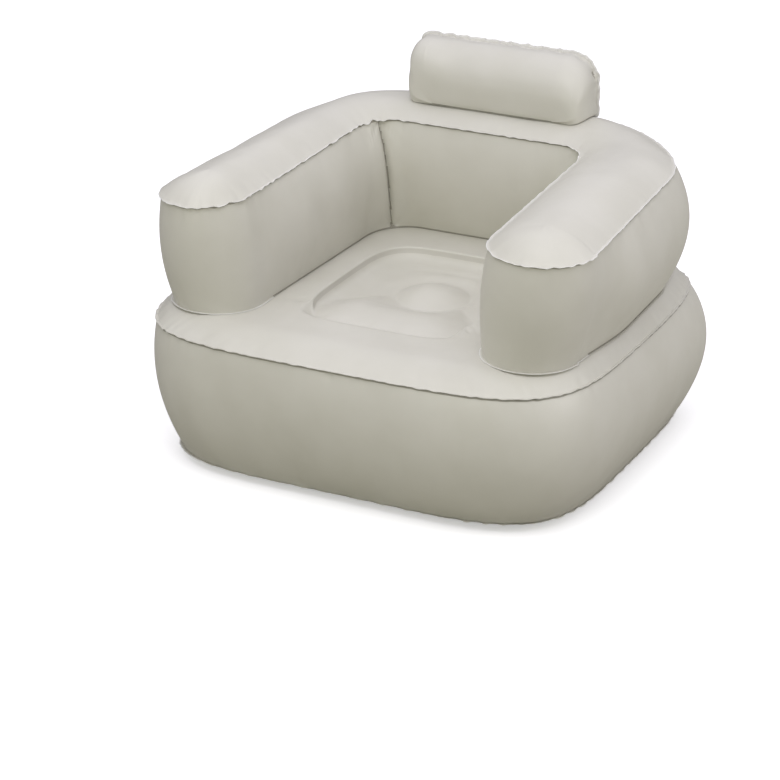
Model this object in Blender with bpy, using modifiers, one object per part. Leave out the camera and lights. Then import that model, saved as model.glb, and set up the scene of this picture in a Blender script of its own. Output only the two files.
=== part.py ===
"""Inflatable armchair of welded PVC sheet: a square base chamber, a U-shaped arm and back chamber welded on it,
and a bolster headrest, each with its own air valve. Metres, +Z up, the sitter faces -Y."""

import math

import bmesh
import bpy
from mathutils import Matrix, Vector

# Sheet and welds
SHEET = 0.0004  # PVC sheet thickness
GAP = 0.0003  # clearance between faces that touch
WELD = 0.006  # width of a weld flange
WELD_TILT = math.radians(38)  # how far a top weld flange stands above level

# Base chamber
BASE_HALF_WIDTH = 0.526  # at the top weld
BASE_HALF_DEPTH = 0.470
FRONT_CORNER_POWER_SHARE = 4.6  # superellipse power of the plan: 2 is an ellipse, more is squarer
REAR_CORNER_POWER_SHARE = 6.0
PAD_CORNER_POWER_SHARE = 4.6
BASE_SEAM_HEIGHT = 0.329
BASE_BULGE = 0.034  # how far the side wall swells past the line between its welds
BASE_FOOT_INSET = 0.046  # bottom weld, in from the top weld
BASE_FOOT_HEIGHT = 0.019
REAR_TRIM = 0.026  # how far the top weld is cut back at the rear corners
REAR_TRIM_TURN = math.radians(44)  # where, seen from the seat, off the rear
REAR_TRIM_SPREAD = 0.34
FOOT_ROLL = 0.06  # width of the curved border of the bottom panel

# Seat surface
SEAT_RISE = 0.035  # the seat's border over the top weld
SHOULDER = 0.024  # width of the rounded edge inside the top weld
EDGE_LIP = 0.008  # rounding of the dished pad's edge at the sides and rear
EDGE_DROP = 0.006
FRONT_LIP = 0.044  # the softer slope down to the pad at the front
FRONT_DROP = 0.018
GROOVE_DEPTH = 0.019  # under the border, where the tension band is welded
FRONT_SWELL = 0.012  # how far the pad rises again behind its front edge
COIL_RADIUS = 0.085
COIL_DEPTH = 0.045  # under the border
COIL_DOME = 0.026
COIL_BACK = 0.060  # from the pad's middle to the coil's, rearwards
SEAT_SIDE_MARGIN = 0.070  # from the foot of an arm to the groove
SEAT_BACK_MARGIN = 0.112
SEAT_FRONT_MARGIN = 0.206  # from the front weld to the groove

# Arm and back chamber: the outline of its top weld, and of its foot on the seat
ARM_SET_IN = 0.017  # outer top weld, in from the base's top weld
ARM_WIDTH = 0.225
BACK_WIDTH = 0.185
BACK_SET_IN = 0.004  # outer top weld at the back, in from the base's top weld
ARM_FRONT_SET_IN = 0.064  # front end of the arms, in from the base's front weld
ARM_FOOT_SET_IN = 0.060
ARM_FOOT_WIDTH = 0.202
BACK_FOOT_SET_IN = 0.056
BACK_FOOT_WIDTH = 0.098
ARM_FRONT_FOOT_SET_IN = 0.090
ARM_BEND_RADIUS = 0.195  # middle of the chamber, at its two corners
ARM_SPLAY_SHARE = 0.046  # how much wider the arms stand at the front
ARM_FRONT_WALL = 0.249  # height of the wall, from the seat to the top weld
BACK_WALL = 0.279
ARM_BULGE = 0.030  # swell of the inner walls past the line between their welds
OUTER_BULGE = 0.044
TIP_BULGE_SHARE = 0.35  # of that swell, left at the round front ends
ARM_CROWN = 0.048  # height of the arm top over its welds
BACK_CROWN = 0.029
CREASE_DEPTH = 0.016  # the folds in the two inner corners
OUTER_TRIM = 0.016  # how far the outer rear corners are cut back
OUTER_TRIM_TURN = 0.72
OUTER_TRIM_SPREAD = 0.55
TIE_END_SHARE = 0.14  # part of the wall height left free above and below a corner tie

# Headrest bolster
HEADREST_HALF_WIDTH = 0.214
HEADREST_HEIGHT = 0.126
HEADREST_DEPTH = 0.120
HEADREST_SWELL = 0.012  # past its weld at the ends and top
HEADREST_BACK_BULGE = 0.014
HEADREST_CORNER = 0.048  # upper corners, seen from the rear
HEADREST_FOOT_CORNER = 0.014
HEADREST_END_ROUND = 0.065  # how far the front face draws in from the ends
HEADREST_LIFT = 0.004  # its lower weld above the top of the back
HEADREST_SET_BACK = 0.074  # its weld, behind the middle of the back

# Screw-in valves of the two large chambers
VALVE_BORE = 0.0145  # radius
VALVE_WALL = 0.0030
VALVE_CLEARANCE = 0.0004
VALVE_NECK_WALL = 0.0026
VALVE_DEPTH = 0.013
VALVE_RIM = 0.0070  # how far the flange reaches past the neck
VALVE_RIM_THICKNESS = 0.0022
VALVE_BAR = 0.0024  # the cross bars that the flap lies on

# Pinch valve of the headrest
STEM_BORE = 0.0046
STEM_WALL = 0.0016
STEM_LENGTH = 0.014
STEM_RIM = 0.0080

# Caps and flaps of all the valves
FLAP_THICKNESS = 0.0010
CAP_THICKNESS = 0.0030
CAP_LIP = 0.0010  # how far a cap reaches past the mouth it covers
PLUG_DEPTH = 0.0030
PLUG_CLEARANCE = 0.0007
STRAP_WIDTH = 0.0110
STRAP_THICKNESS = 0.0014
LUG_LENGTH = 0.0040

# Places of the valves
PATCH_MARGIN = 0.0030  # flat wall past the flange
BASE_VALVE_X = 0.200
BACK_VALVE_X = 0.040  # to the left
HEADREST_VALVE_X = 0.090

PATCH = VALVE_BORE + VALVE_WALL + VALVE_CLEARANCE + VALVE_NECK_WALL + VALVE_RIM + PATCH_MARGIN

# How finely round shapes are divided
BASE_STEPS = 52
RAY_CROWDING_SHARE = 0.45  # 0 spaces the rays evenly
BEND_STEPS = 8
TIP_STEPS = 8
LATHE_STEPS = 24

PVC = ("pvc_sheet", (0.60, 0.585, 0.535), 0.42)
VALVE_PLASTIC = ("valve_plastic", (0.80, 0.80, 0.77), 0.35)
FLAP_RUBBER = ("flap_rubber", (0.72, 0.72, 0.70), 0.5)


def clear_scene():
    for item in list(bpy.data.objects):
        bpy.data.objects.remove(item)


def material(kind):
    name, colour, roughness = kind
    found = bpy.data.materials.get(name)
    if found:
        return found
    made = bpy.data.materials.new(name)
    made.use_nodes = True
    shader = made.node_tree.nodes["Principled BSDF"]
    shader.inputs["Base Color"].default_value = (*colour, 1)
    shader.inputs["Roughness"].default_value = roughness
    shader.inputs["Metallic"].default_value = 0
    return made


def collection(name):
    found = bpy.data.collections.get(name)
    if not found:
        found = bpy.data.collections.new(name)
        bpy.context.scene.collection.children.link(found)
    return found


def add(name, mesh, kind):
    mesh.materials.append(material(kind))
    made = bpy.data.objects.new(name, mesh)
    collection("inflatable_armchair").objects.link(made)
    return made


def lerp(a, b, share):
    return a + (b - a) * share


def smooth(share):
    share = min(1, max(0, share))
    return share * share * (3 - 2 * share)


# Lofts and sheets


def loft(rings, centre=None, filled=False):
    """A surface through closed rings with equal counts, ending in a point, a flat face or an open edge."""
    mesh = bmesh.new()
    loops = [[mesh.verts.new(point) for point in ring] for ring in rings]
    for lower, upper in zip(loops, loops[1:]):
        for i in range(len(lower)):
            j = (i + 1) % len(lower)
            if upper[i] == upper[j]:
                continue
            mesh.faces.new((lower[i], lower[j], upper[j], upper[i]))
    if centre is not None:
        middle = mesh.verts.new(centre)
        last = loops[-1]
        for i in range(len(last)):
            mesh.faces.new((last[i], last[(i + 1) % len(last)], middle))
    if filled:
        mesh.faces.new(loops[-1])
    return mesh


def finish_sheet(name, mesh, outward, kind=PVC, side=-1):
    """Turns an open surface into sheet of one thickness, kept inside the surface when side is -1."""
    bmesh.ops.remove_doubles(mesh, verts=mesh.verts[:], dist=SHEET / 10)
    bmesh.ops.recalc_face_normals(mesh, faces=mesh.faces[:])
    mesh.faces.ensure_lookup_table()
    probe = max(mesh.faces, key=lambda face: face.calc_center_median() @ outward)
    if probe.normal @ outward < 0:
        bmesh.ops.reverse_faces(mesh, faces=mesh.faces[:])
    data = bpy.data.meshes.new(name)
    mesh.to_mesh(data)
    mesh.free()
    data.shade_smooth()
    made = add(name, data, kind)
    solidify = made.modifiers.new("sheet", "SOLIDIFY")
    solidify.thickness = SHEET
    solidify.offset = side
    solidify.use_even_offset = True
    return made


# Plan outlines of the base, seen from the middle of the seat


def front_of_groove():
    return -BASE_HALF_DEPTH + SEAT_FRONT_MARGIN


def foot_inner_x():
    return BASE_HALF_WIDTH - ARM_FOOT_SET_IN - ARM_FOOT_WIDTH


def foot_inner_y():
    return BASE_HALF_DEPTH - BACK_FOOT_SET_IN - BACK_FOOT_WIDTH


SEAT_HEIGHT = BASE_SEAM_HEIGHT + SEAT_RISE
GROOVE_HEIGHT = SEAT_HEIGHT - GROOVE_DEPTH
COIL_HEIGHT = SEAT_HEIGHT - COIL_DEPTH
PAD_HALF_WIDTH = foot_inner_x() - SEAT_SIDE_MARGIN
PAD_BACK = foot_inner_y() - SEAT_BACK_MARGIN
PAD_HALF_DEPTH = (PAD_BACK - front_of_groove()) / 2
PAD_MIDDLE = (PAD_BACK + front_of_groove()) / 2


def reach(angle, half_width, half_depth, middle, front_power, rear_power):
    """Distance from the pad's middle to a superellipse centred at y = middle, along an angle."""
    direction = Vector((math.cos(angle), math.sin(angle)))
    near = 0
    far = 2 * (half_width + half_depth)
    for _ in range(50):
        half = (near + far) / 2
        x = abs(direction.x * half) / half_width
        y = (PAD_MIDDLE + direction.y * half - middle) / half_depth
        power = rear_power if y > 0 else front_power
        if x**power + abs(y) ** power < 1:
            near = half
        else:
            far = half
    return (near + far) / 2


def valve_rays():
    """The two rays that bound the flat patch of the base's valve."""
    rear = BASE_HALF_DEPTH - PAD_MIDDLE
    return [math.atan2(rear, BASE_VALVE_X + side * PATCH) for side in (1, -1)]


def base_angles():
    """Rays from the pad's middle, closer together at the corners."""
    even = [2 * math.pi * i / BASE_STEPS for i in range(BASE_STEPS)]
    crowded = [turn + RAY_CROWDING_SHARE * math.sin(4 * turn) / 4 for turn in even]
    first, last = valve_rays()
    margin = (last - first) / 2
    kept = [turn for turn in crowded if not first - margin < turn < last + margin]
    return sorted([*kept, first, last])


def base_point(angle, distance, height, back=0):
    return Vector((distance * math.cos(angle), PAD_MIDDLE + back + distance * math.sin(angle), height))


def base_reach(angle, inset):
    size = (BASE_HALF_WIDTH - inset, BASE_HALF_DEPTH - inset)
    return reach(angle, *size, 0, FRONT_CORNER_POWER_SHARE, REAR_CORNER_POWER_SHARE)


def rear_trim(angle):
    """How far the top weld stands in, most at the two rear corners."""
    off_rear = abs(angle % (2 * math.pi) - math.pi / 2)
    return REAR_TRIM * math.exp(-(((off_rear - REAR_TRIM_TURN) / REAR_TRIM_SPREAD) ** 2))


def pad_reach(angle, grown):
    size = (PAD_HALF_WIDTH + grown, PAD_HALF_DEPTH + grown)
    return reach(angle, *size, PAD_MIDDLE, PAD_CORNER_POWER_SHARE, PAD_CORNER_POWER_SHARE)


def base_ring(inset, height, trimmed=1):
    """A ring at an inset from the top weld's outline, with a share of its rear trim."""
    return [
        base_point(angle, base_reach(angle, inset) - trimmed * rear_trim(angle), height)
        for angle in base_angles()
    ]


def seam_shift(tilt):
    """Half the pair of sheets in a weld, along the flange and up, for a flange at a tilt."""
    half = SHEET + GAP / 2
    return half * math.sin(tilt), half * math.cos(tilt)


# Base chamber


def base_wall_row(share):
    """Inset, height and trim of the side wall, from the bottom weld at 0 to the top weld at 1."""
    inset = lerp(BASE_FOOT_INSET, 0, share) - BASE_BULGE * math.sin(math.pi * share) ** 0.8
    return inset, lerp(BASE_FOOT_HEIGHT, BASE_SEAM_HEIGHT, share), share**3.5


BASE_WALL_SHARES = (0.07, 0.20, 0.38, 0.58, 0.74, 0.87, 0.95)
BASE_VALVE_ROWS = (2, 3)


def side_wall():
    in_shift, up_shift = seam_shift(WELD_TILT)
    flange_in = WELD * math.cos(WELD_TILT)
    flange_up = WELD * math.sin(WELD_TILT)
    half = SHEET + GAP / 2
    rings = [
        base_ring(BASE_FOOT_INSET - WELD, BASE_FOOT_HEIGHT + half, 0),
        base_ring(BASE_FOOT_INSET, BASE_FOOT_HEIGHT + half, 0),
    ]
    rings += [base_ring(*base_wall_row(share)) for share in BASE_WALL_SHARES]
    rings += [
        base_ring(-in_shift, BASE_SEAM_HEIGHT - up_shift),
        base_ring(-in_shift - flange_in, BASE_SEAM_HEIGHT - up_shift + flange_up),
    ]
    centre = base_valve_place()
    for row in BASE_VALVE_ROWS:
        for column in base_valve_columns():
            rings[2 + row][column].y = centre.y
    wall = finish_sheet("base_side_wall", loft(rings), Vector((1, 0, 0)))
    drill(wall, centre, valve_hole())
    return wall


def base_valve_columns():
    """The two neighbouring rays between which the valve sits on the rear wall."""
    first = base_angles().index(valve_rays()[0])
    return first, first + 1


def base_valve_place():
    """Middle of the flat patch that carries the valve."""
    rings = [base_ring(*base_wall_row(BASE_WALL_SHARES[row])) for row in BASE_VALVE_ROWS]
    corners = [ring[column] for ring in rings for column in base_valve_columns()]
    return sum(corners, Vector()) / len(corners)


def seat_rows():
    """Height rows of the seat panel between its outlines, from the weld inwards."""
    rows = []
    for share in (0.12, 0.35, 0.65, 1.0):
        turn = share * math.pi / 2
        inset = SHOULDER * (1 - math.cos(turn))
        rows.append(base_ring(inset, lerp(BASE_SEAM_HEIGHT, SEAT_HEIGHT, math.sin(turn))))
    return rows


def seat_top():
    in_shift, up_shift = seam_shift(WELD_TILT)
    flange_in = WELD * math.cos(WELD_TILT)
    flange_up = WELD * math.sin(WELD_TILT)
    rings = [
        base_ring(in_shift - flange_in, BASE_SEAM_HEIGHT + up_shift + flange_up),
        base_ring(in_shift, BASE_SEAM_HEIGHT + up_shift),
    ]
    rings += seat_rows()
    rings += [pad_edge_ring(share) for share in (0, 0.5, 1)]
    rings += [pad_ring(share) for share in (GROOVE_SHARE, 0.22, 0.42, 0.68, 1.0)]
    for share in (0.62, 0.3):
        height = COIL_HEIGHT + COIL_DOME * (1 - share * share)
        rings.append([base_point(a, COIL_RADIUS * share, height, COIL_BACK) for a in base_angles()])
    top = Vector((0, PAD_MIDDLE + COIL_BACK, COIL_HEIGHT + COIL_DOME))
    return finish_sheet("seat_top_panel", loft(rings, centre=top), Vector((0, 0, 1)))


GROOVE_SHARE = 0.06


def front_share(angle):
    """1 along the pad's front edge, 0 along its sides and rear."""
    return smooth((-math.sin(angle) - 0.66) / 0.16)


def pad_edge_ring(share):
    """The step down from the seat's border to the pad: abrupt at the sides and rear, soft at the front."""
    ring = []
    for angle in base_angles():
        front = front_share(angle)
        drop = lerp(EDGE_DROP * share**2, FRONT_DROP * smooth(share), front)
        grown = lerp(EDGE_LIP, FRONT_LIP, front) * (1 - share)
        ring.append(base_point(angle, pad_reach(angle, grown), SEAT_HEIGHT - drop))
    return ring


def pad_ring(share):
    """The dished pad, from its edge at 0 to the coil at 1."""
    ring = []
    for angle in base_angles():
        dish = lerp(EDGE_DROP, GROOVE_DEPTH, min(1, share / GROOVE_SHARE))
        swell = lerp(GROOVE_DEPTH, GROOVE_DEPTH - FRONT_SWELL, smooth(share * 3))
        depth = lerp(dish, swell, front_share(angle))
        depth = lerp(depth, COIL_DEPTH, smooth((share - 0.22) / 0.78))
        distance = lerp(pad_reach(angle, 0), COIL_RADIUS, share)
        ring.append(base_point(angle, distance, SEAT_HEIGHT - depth, COIL_BACK * smooth(share)))
    return ring


def base_bottom():
    half = SHEET + GAP / 2
    rings = [
        base_ring(BASE_FOOT_INSET - WELD, BASE_FOOT_HEIGHT - half, 0),
        base_ring(BASE_FOOT_INSET, BASE_FOOT_HEIGHT - half, 0),
        base_ring(BASE_FOOT_INSET + FOOT_ROLL * 0.4, (BASE_FOOT_HEIGHT - half) * 0.35, 0),
        base_ring(BASE_FOOT_INSET + FOOT_ROLL, 0, 0),
    ]
    return finish_sheet("base_bottom_panel", loft(rings, filled=True), Vector((0, 0, -1)))


def band(name, outline, low, high):
    """An upright strip of sheet that follows a closed outline."""
    rings = [[Vector((p.x, p.y, z)) for p in outline] for z in (low, lerp(low, high, 0.5), high)]
    return finish_sheet(name, loft(rings), Vector((1, 0, 0)), side=0)


def tension_bands():
    low = SHEET + GAP
    band("seat_tension_band", pad_ring(GROOVE_SHARE), low, GROOVE_HEIGHT - 2 * (SHEET + GAP))
    circle = [base_point(a, COIL_RADIUS, 0, COIL_BACK) for a in base_angles()[::2]]
    band("seat_coil_beam", circle, low, COIL_HEIGHT - SHEET - GAP)


# Arm and back chamber

STRAIGHT_PLACES = (0, BACK_VALVE_X - PATCH, BACK_VALVE_X + PATCH)
TIP_FADE_SHARE = 0.55


def outer_trim(normal):
    """How far the chamber's outer side stands in, most at the two rear corners."""
    turn = math.atan2(normal.y, normal.x)
    return OUTER_TRIM * math.exp(-(((turn - OUTER_TRIM_TURN) / OUTER_TRIM_SPREAD) ** 2))


class Outline:
    """Closed plan outline of the U-shaped chamber: outer and inner points in pairs, and a round tip at each arm."""

    def __init__(self, outer_x, inner_x, outer_y, inner_y, front_y):
        self.arm_x = (outer_x + inner_x) / 2
        self.back_y = (outer_y + inner_y) / 2
        self.arm_half = (outer_x - inner_x) / 2
        self.back_half = (outer_y - inner_y) / 2
        self.front_y = front_y
        self.tip_y = front_y + self.arm_half
        self.half_depth = BASE_HALF_DEPTH

    def stations(self):
        """Right half, from the middle of the back to the arm's tip: centre, outward normal and half width."""
        straight = self.arm_x - ARM_BEND_RADIUS
        found = []
        for x in STRAIGHT_PLACES:
            found.append((Vector((x, self.back_y)), Vector((0, 1)), self.back_half))
        for i in range(BEND_STEPS + 1):
            share = i / BEND_STEPS
            turn = math.pi / 2 * (1 - share)
            normal = Vector((math.cos(turn), math.sin(turn)))
            corner = Vector((straight, self.back_y - ARM_BEND_RADIUS))
            half = lerp(self.back_half, self.arm_half, smooth(share))
            found.append((corner + normal * ARM_BEND_RADIUS, normal, half))
        start = self.back_y - ARM_BEND_RADIUS
        for share in (0.33, 0.66, 1.0):
            found.append((Vector((self.arm_x, lerp(start, self.tip_y, share))), Vector((1, 0)), self.arm_half))
        return found

    def splay(self, point):
        wider = 1 - ARM_SPLAY_SHARE * point.y / self.half_depth
        return Vector((point.x * wider, point.y))

    def points(self, flange=0, swell=0):
        """The closed outline, counter-clockwise from the middle of the back, and the centre line under each point.

        A flange widens it evenly; a swell widens it less towards the round front ends."""
        outer, inner, middle = [], [], []
        for centre, normal, half in self.stations():
            away = (centre.y - self.tip_y) / self.arm_half
            grown = swell * lerp(TIP_BULGE_SHARE, 1, smooth(away * TIP_FADE_SHARE))
            trim = outer_trim(normal) * (1 - swell)
            outer.append(centre + normal * (half + flange + grown * OUTER_BULGE - trim))
            inner.append(centre - normal * (half + flange + grown * ARM_BULGE))
            middle.append(centre)
        tip = []
        for i in range(1, TIP_STEPS):
            turn = math.pi * i / TIP_STEPS
            side = lerp(OUTER_BULGE, ARM_BULGE, i / TIP_STEPS)
            grown = self.arm_half + flange + swell * side * TIP_BULGE_SHARE
            tip.append(middle[-1] + Vector((math.cos(turn), -math.sin(turn))) * grown)
        right = outer + tip + inner[::-1]
        centres = middle + [middle[-1]] * len(tip) + middle[::-1]
        flip = Vector((-1, 1))
        left = [p * flip for p in right[-2:0:-1]]
        left_centres = [p * flip for p in centres[-2:0:-1]]
        loop = [self.splay(p) for p in right + left]
        return loop, [self.splay(p) for p in centres + left_centres]


TOP_OUTLINE = Outline(
    BASE_HALF_WIDTH - ARM_SET_IN,
    BASE_HALF_WIDTH - ARM_SET_IN - ARM_WIDTH,
    BASE_HALF_DEPTH - BACK_SET_IN,
    BASE_HALF_DEPTH - BACK_SET_IN - BACK_WIDTH,
    -BASE_HALF_DEPTH + ARM_FRONT_SET_IN,
)
FOOT_OUTLINE = Outline(
    BASE_HALF_WIDTH - ARM_FOOT_SET_IN,
    foot_inner_x(),
    BASE_HALF_DEPTH - BACK_FOOT_SET_IN,
    foot_inner_y(),
    -BASE_HALF_DEPTH + ARM_FRONT_FOOT_SET_IN,
)


def arm_seam_height(y):
    share = (y + BASE_HALF_DEPTH) / (2 * BASE_HALF_DEPTH)
    return SEAT_HEIGHT + lerp(ARM_FRONT_WALL, BACK_WALL, share)


def crease_indices():
    """Places in the outline of the folds: the inner corners, halfway round each bend."""
    half_count = len(TOP_OUTLINE.stations())
    corner = len(STRAIGHT_PLACES) + BEND_STEPS // 2
    right = half_count + (TIP_STEPS - 1) + (half_count - 1 - corner)
    total = len(TOP_OUTLINE.points()[0])
    return right, total - right


def outer_indices():
    corner = len(STRAIGHT_PLACES) + BEND_STEPS // 2
    return corner, len(TOP_OUTLINE.points()[0]) - corner


def arm_wall_ring(share):
    """The wall's outline from the top weld at 0 to the foot at 1."""
    swell = math.sin(math.pi * share**0.85)
    top, _ = TOP_OUTLINE.points(swell=swell)
    foot, _ = FOOT_OUTLINE.points(swell=swell)
    ring = []
    for upper, lower in zip(top, foot):
        point = upper.lerp(lower, share)
        height = lerp(arm_seam_height(upper.y), SEAT_HEIGHT + WELD_STACK, share)
        ring.append(Vector((point.x, point.y, height)))
    depth = CREASE_DEPTH * math.sin(math.pi * share) ** 0.6 if 0 < share < 1 else 0
    for i in crease_indices():
        side = math.copysign(1, ring[i].x)
        ring[i] += Vector((side, 1, 0)).normalized() * depth
    return ring


WELD_STACK = 2 * (SHEET + GAP)  # foot panel and wall flange lying on the seat
ARM_WALL_SHARES = (0.06, 0.18, 0.36, 0.60, 0.80, 0.93)
BACK_VALVE_ROWS = (2, 3)
BACK_VALVE_COLUMNS = (-1, -2)  # the left half's first two after the middle of the back


def outline_ring(outline, flange, height):
    loop, _ = outline.points(flange)
    return [Vector((p.x, p.y, height)) for p in loop]


def arm_wall():
    in_shift, up_shift = seam_shift(WELD_TILT)
    flange_in = WELD * math.cos(WELD_TILT)
    flange_up = WELD * math.sin(WELD_TILT)
    rings = []
    for out, up in ((in_shift + flange_in, flange_up - up_shift), (in_shift, -up_shift)):
        loop, _ = TOP_OUTLINE.points(out)
        rings.append([Vector((p.x, p.y, arm_seam_height(p.y) + up)) for p in loop])
    rings += [arm_wall_ring(share) for share in ARM_WALL_SHARES]
    rings.append(outline_ring(FOOT_OUTLINE, 0, SEAT_HEIGHT + WELD_STACK))
    rings.append(outline_ring(FOOT_OUTLINE, WELD, SEAT_HEIGHT + WELD_STACK))
    centre = back_valve_place()
    for row in BACK_VALVE_ROWS:
        for column in BACK_VALVE_COLUMNS:
            rings[2 + row][column].y = centre.y
    wall = finish_sheet("arm_back_wall", loft(rings), Vector((1, 0, 0)))
    drill(wall, centre, valve_hole())
    return wall


def back_valve_place():
    """Middle of the flat patch that carries the valve."""
    rings = [arm_wall_ring(ARM_WALL_SHARES[row]) for row in BACK_VALVE_ROWS]
    corners = [ring[column] for ring in rings for column in BACK_VALVE_COLUMNS]
    return sum(corners, Vector()) / len(corners)


CROWN_SHARES = (0.14, 0.38, 0.68, 1.0)


def crown_profile(share):
    return 1 - (1 - share) ** 2.2


def arm_crown(centre):
    """Crown height over the weld, high on the arms and lower on the back."""
    along = (TOP_OUTLINE.back_y - centre.y) / (TOP_OUTLINE.back_y - TOP_OUTLINE.tip_y)
    return lerp(BACK_CROWN, ARM_CROWN, smooth(along * 1.6))


def arm_top():
    in_shift, up_shift = seam_shift(WELD_TILT)
    flange_in = WELD * math.cos(WELD_TILT)
    flange_up = WELD * math.sin(WELD_TILT)
    rings = []
    for out, up in ((flange_in - in_shift, flange_up + up_shift), (-in_shift, up_shift)):
        loop, _ = TOP_OUTLINE.points(out)
        rings.append([Vector((p.x, p.y, arm_seam_height(p.y) + up)) for p in loop])
    loop, centres = TOP_OUTLINE.points()
    for share in CROWN_SHARES:
        ring = []
        for edge, centre in zip(loop, centres):
            point = edge.lerp(centre, share)
            height = arm_seam_height(point.y) + arm_crown(centre) * crown_profile(share)
            ring.append(Vector((point.x, point.y, height)))
        rings.append(ring)
    return finish_sheet("arm_back_top_panel", loft(rings), Vector((0, 0, 1)))


def arm_foot():
    low = SEAT_HEIGHT + GAP
    rings = [outline_ring(FOOT_OUTLINE, WELD, low)]
    mesh = bmesh.new()
    mesh.faces.new([mesh.verts.new(p) for p in rings[0]])
    return finish_sheet("arm_back_foot_panel", mesh, Vector((0, 0, -1)))


def corner_ties():
    """Upright webs across the chamber, behind the two inner folds."""
    for side, inner, outer in zip(("right", "left"), crease_indices(), outer_indices()):
        mesh = bmesh.new()
        columns = []
        for share in ARM_WALL_SHARES:
            if not TIE_END_SHARE <= share <= 1 - TIE_END_SHARE:
                continue
            ring = arm_wall_ring(share)
            near, far = ring[inner], ring[outer]
            inward = Vector((far.x - near.x, far.y - near.y, 0)).normalized()
            clear = inward * (2 * SHEET + GAP)
            columns.append((near + clear, far - clear))
        rows = [[mesh.verts.new(lerp(a, b, share)) for share in (0, 0.5, 1)] for a, b in columns]
        for low, high in zip(rows, rows[1:]):
            for i in (0, 1):
                mesh.faces.new((low[i], low[i + 1], high[i + 1], high[i]))
        finish_sheet(f"corner_tie_{side}", mesh, Vector((1, 0, 0)), side=0)


# Headrest


def back_top_height(y):
    """Top of the back's crown where it runs straight, as the panel's facets have it."""
    middle = TOP_OUTLINE.back_y
    share = 1 - abs(y - middle) / TOP_OUTLINE.back_half
    shares = (0, *CROWN_SHARES)
    share = min(1, max(0, share))
    for low, high in zip(shares, shares[1:]):
        if share <= high:
            break
    side = math.copysign(1, y - middle)
    ends = []
    for edge in (low, high):
        place = middle + side * (1 - edge) * TOP_OUTLINE.back_half
        ends.append(arm_seam_height(place) + BACK_CROWN * crown_profile(edge))
    return lerp(ends[0], ends[1], (share - low) / (high - low))


HEADREST_Y = TOP_OUTLINE.back_y + HEADREST_SET_BACK
HEADREST_LOW = back_top_height(TOP_OUTLINE.back_y) + HEADREST_LIFT
HEADREST_STEPS = 6
HEADREST_SAG_SHARE = 0.85  # how far below the middle its fullest line lies
FRONT_SHARES = (  # forwards, in from the ends, down from the top
    (0.18, 0, 0),
    (0.38, 0, 0.012),
    (0.58, 0.01, 0.055),
    (0.75, 0.05, 0.14),
    (0.87, 0.12, 0.26),
    (0.95, 0.23, 0.42),
    (0.99, 0.40, 0.62),
    (1.0, 0.68, 0.82),
)
REAR_SHARES = ((0.15, 0.45), (0.36, 0.86), (0.56, 1.0), (1.0, 1.0))


def headrest_outline(grown, inward, lowered, sag=0):
    """Rounded rectangle of the headrest's weld, drawn in from its ends, and towards a line sag below its middle."""
    half_height = HEADREST_HEIGHT / 2
    middle = HEADREST_LOW + half_height
    points = []
    for quarter in range(4):
        corner = HEADREST_CORNER if quarter in (0, 1) else HEADREST_FOOT_CORNER
        for i in range(HEADREST_STEPS + 1):
            turn = math.pi / 2 * (quarter + i / HEADREST_STEPS)
            across = math.cos(turn)
            up = math.sin(turn)
            side = 1 if quarter in (0, 3) else -1
            level = 1 if quarter in (0, 1) else -1
            x = side * (HEADREST_HALF_WIDTH - corner) + across * corner
            z = level * (half_height - corner) + up * corner
            core = side * (HEADREST_HALF_WIDTH - HEADREST_END_ROUND)
            x = lerp(x + across * grown, core, inward)
            z = lerp(z + up * grown, -half_height * sag, lowered)
            points.append((x, middle + z))
    return points


def headrest_front_ring(share, inward, lowered):
    """A ring of the front panel: share runs forwards from the weld, the others draw it in over the front face."""
    swell = HEADREST_SWELL * math.sin(math.pi / 2 * min(1, share * 1.6)) * (1 - 0.35 * share)
    y = HEADREST_Y - HEADREST_DEPTH * share
    ring = []
    for x, z in headrest_outline(swell, inward, lowered, HEADREST_SAG_SHARE):
        place = Vector((x, y, z))
        floor = back_top_height(y) + 3 * GAP
        place.z = max(place.z, floor)
        ring.append(place)
    return ring


def headrest():
    half = SHEET + GAP / 2
    front = [
        [Vector((x, HEADREST_Y - half, z)) for x, z in headrest_outline(WELD, 0, 0)],
        [Vector((x, HEADREST_Y - half, z)) for x, z in headrest_outline(0, 0, 0)],
    ]
    front += [headrest_front_ring(*shares) for shares in FRONT_SHARES]
    front.append(headrest_front_ring(1.0, 1.0, 1.0))
    finish_sheet("headrest_front_panel", loft(front), Vector((0, -1, 0)))
    rear = [
        [Vector((x, HEADREST_Y + half, z)) for x, z in headrest_outline(WELD, 0, 0)],
        [Vector((x, HEADREST_Y + half, z)) for x, z in headrest_outline(0, 0, 0)],
    ]
    for inward, share in REAR_SHARES:
        y = HEADREST_Y + half + HEADREST_BACK_BULGE * share
        rear.append([Vector((x, y, z)) for x, z in headrest_outline(0, inward, inward)])
    middle = HEADREST_LOW + HEADREST_HEIGHT / 2
    panel = finish_sheet("headrest_back_panel", loft(rear), Vector((0, 1, 0)))
    centre = Vector((HEADREST_VALVE_X, HEADREST_Y + half + HEADREST_BACK_BULGE, middle))
    drill(panel, centre, STEM_BORE + STEM_WALL + GAP)
    return centre


# Valves, built along +Z and turned to face the rear


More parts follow.
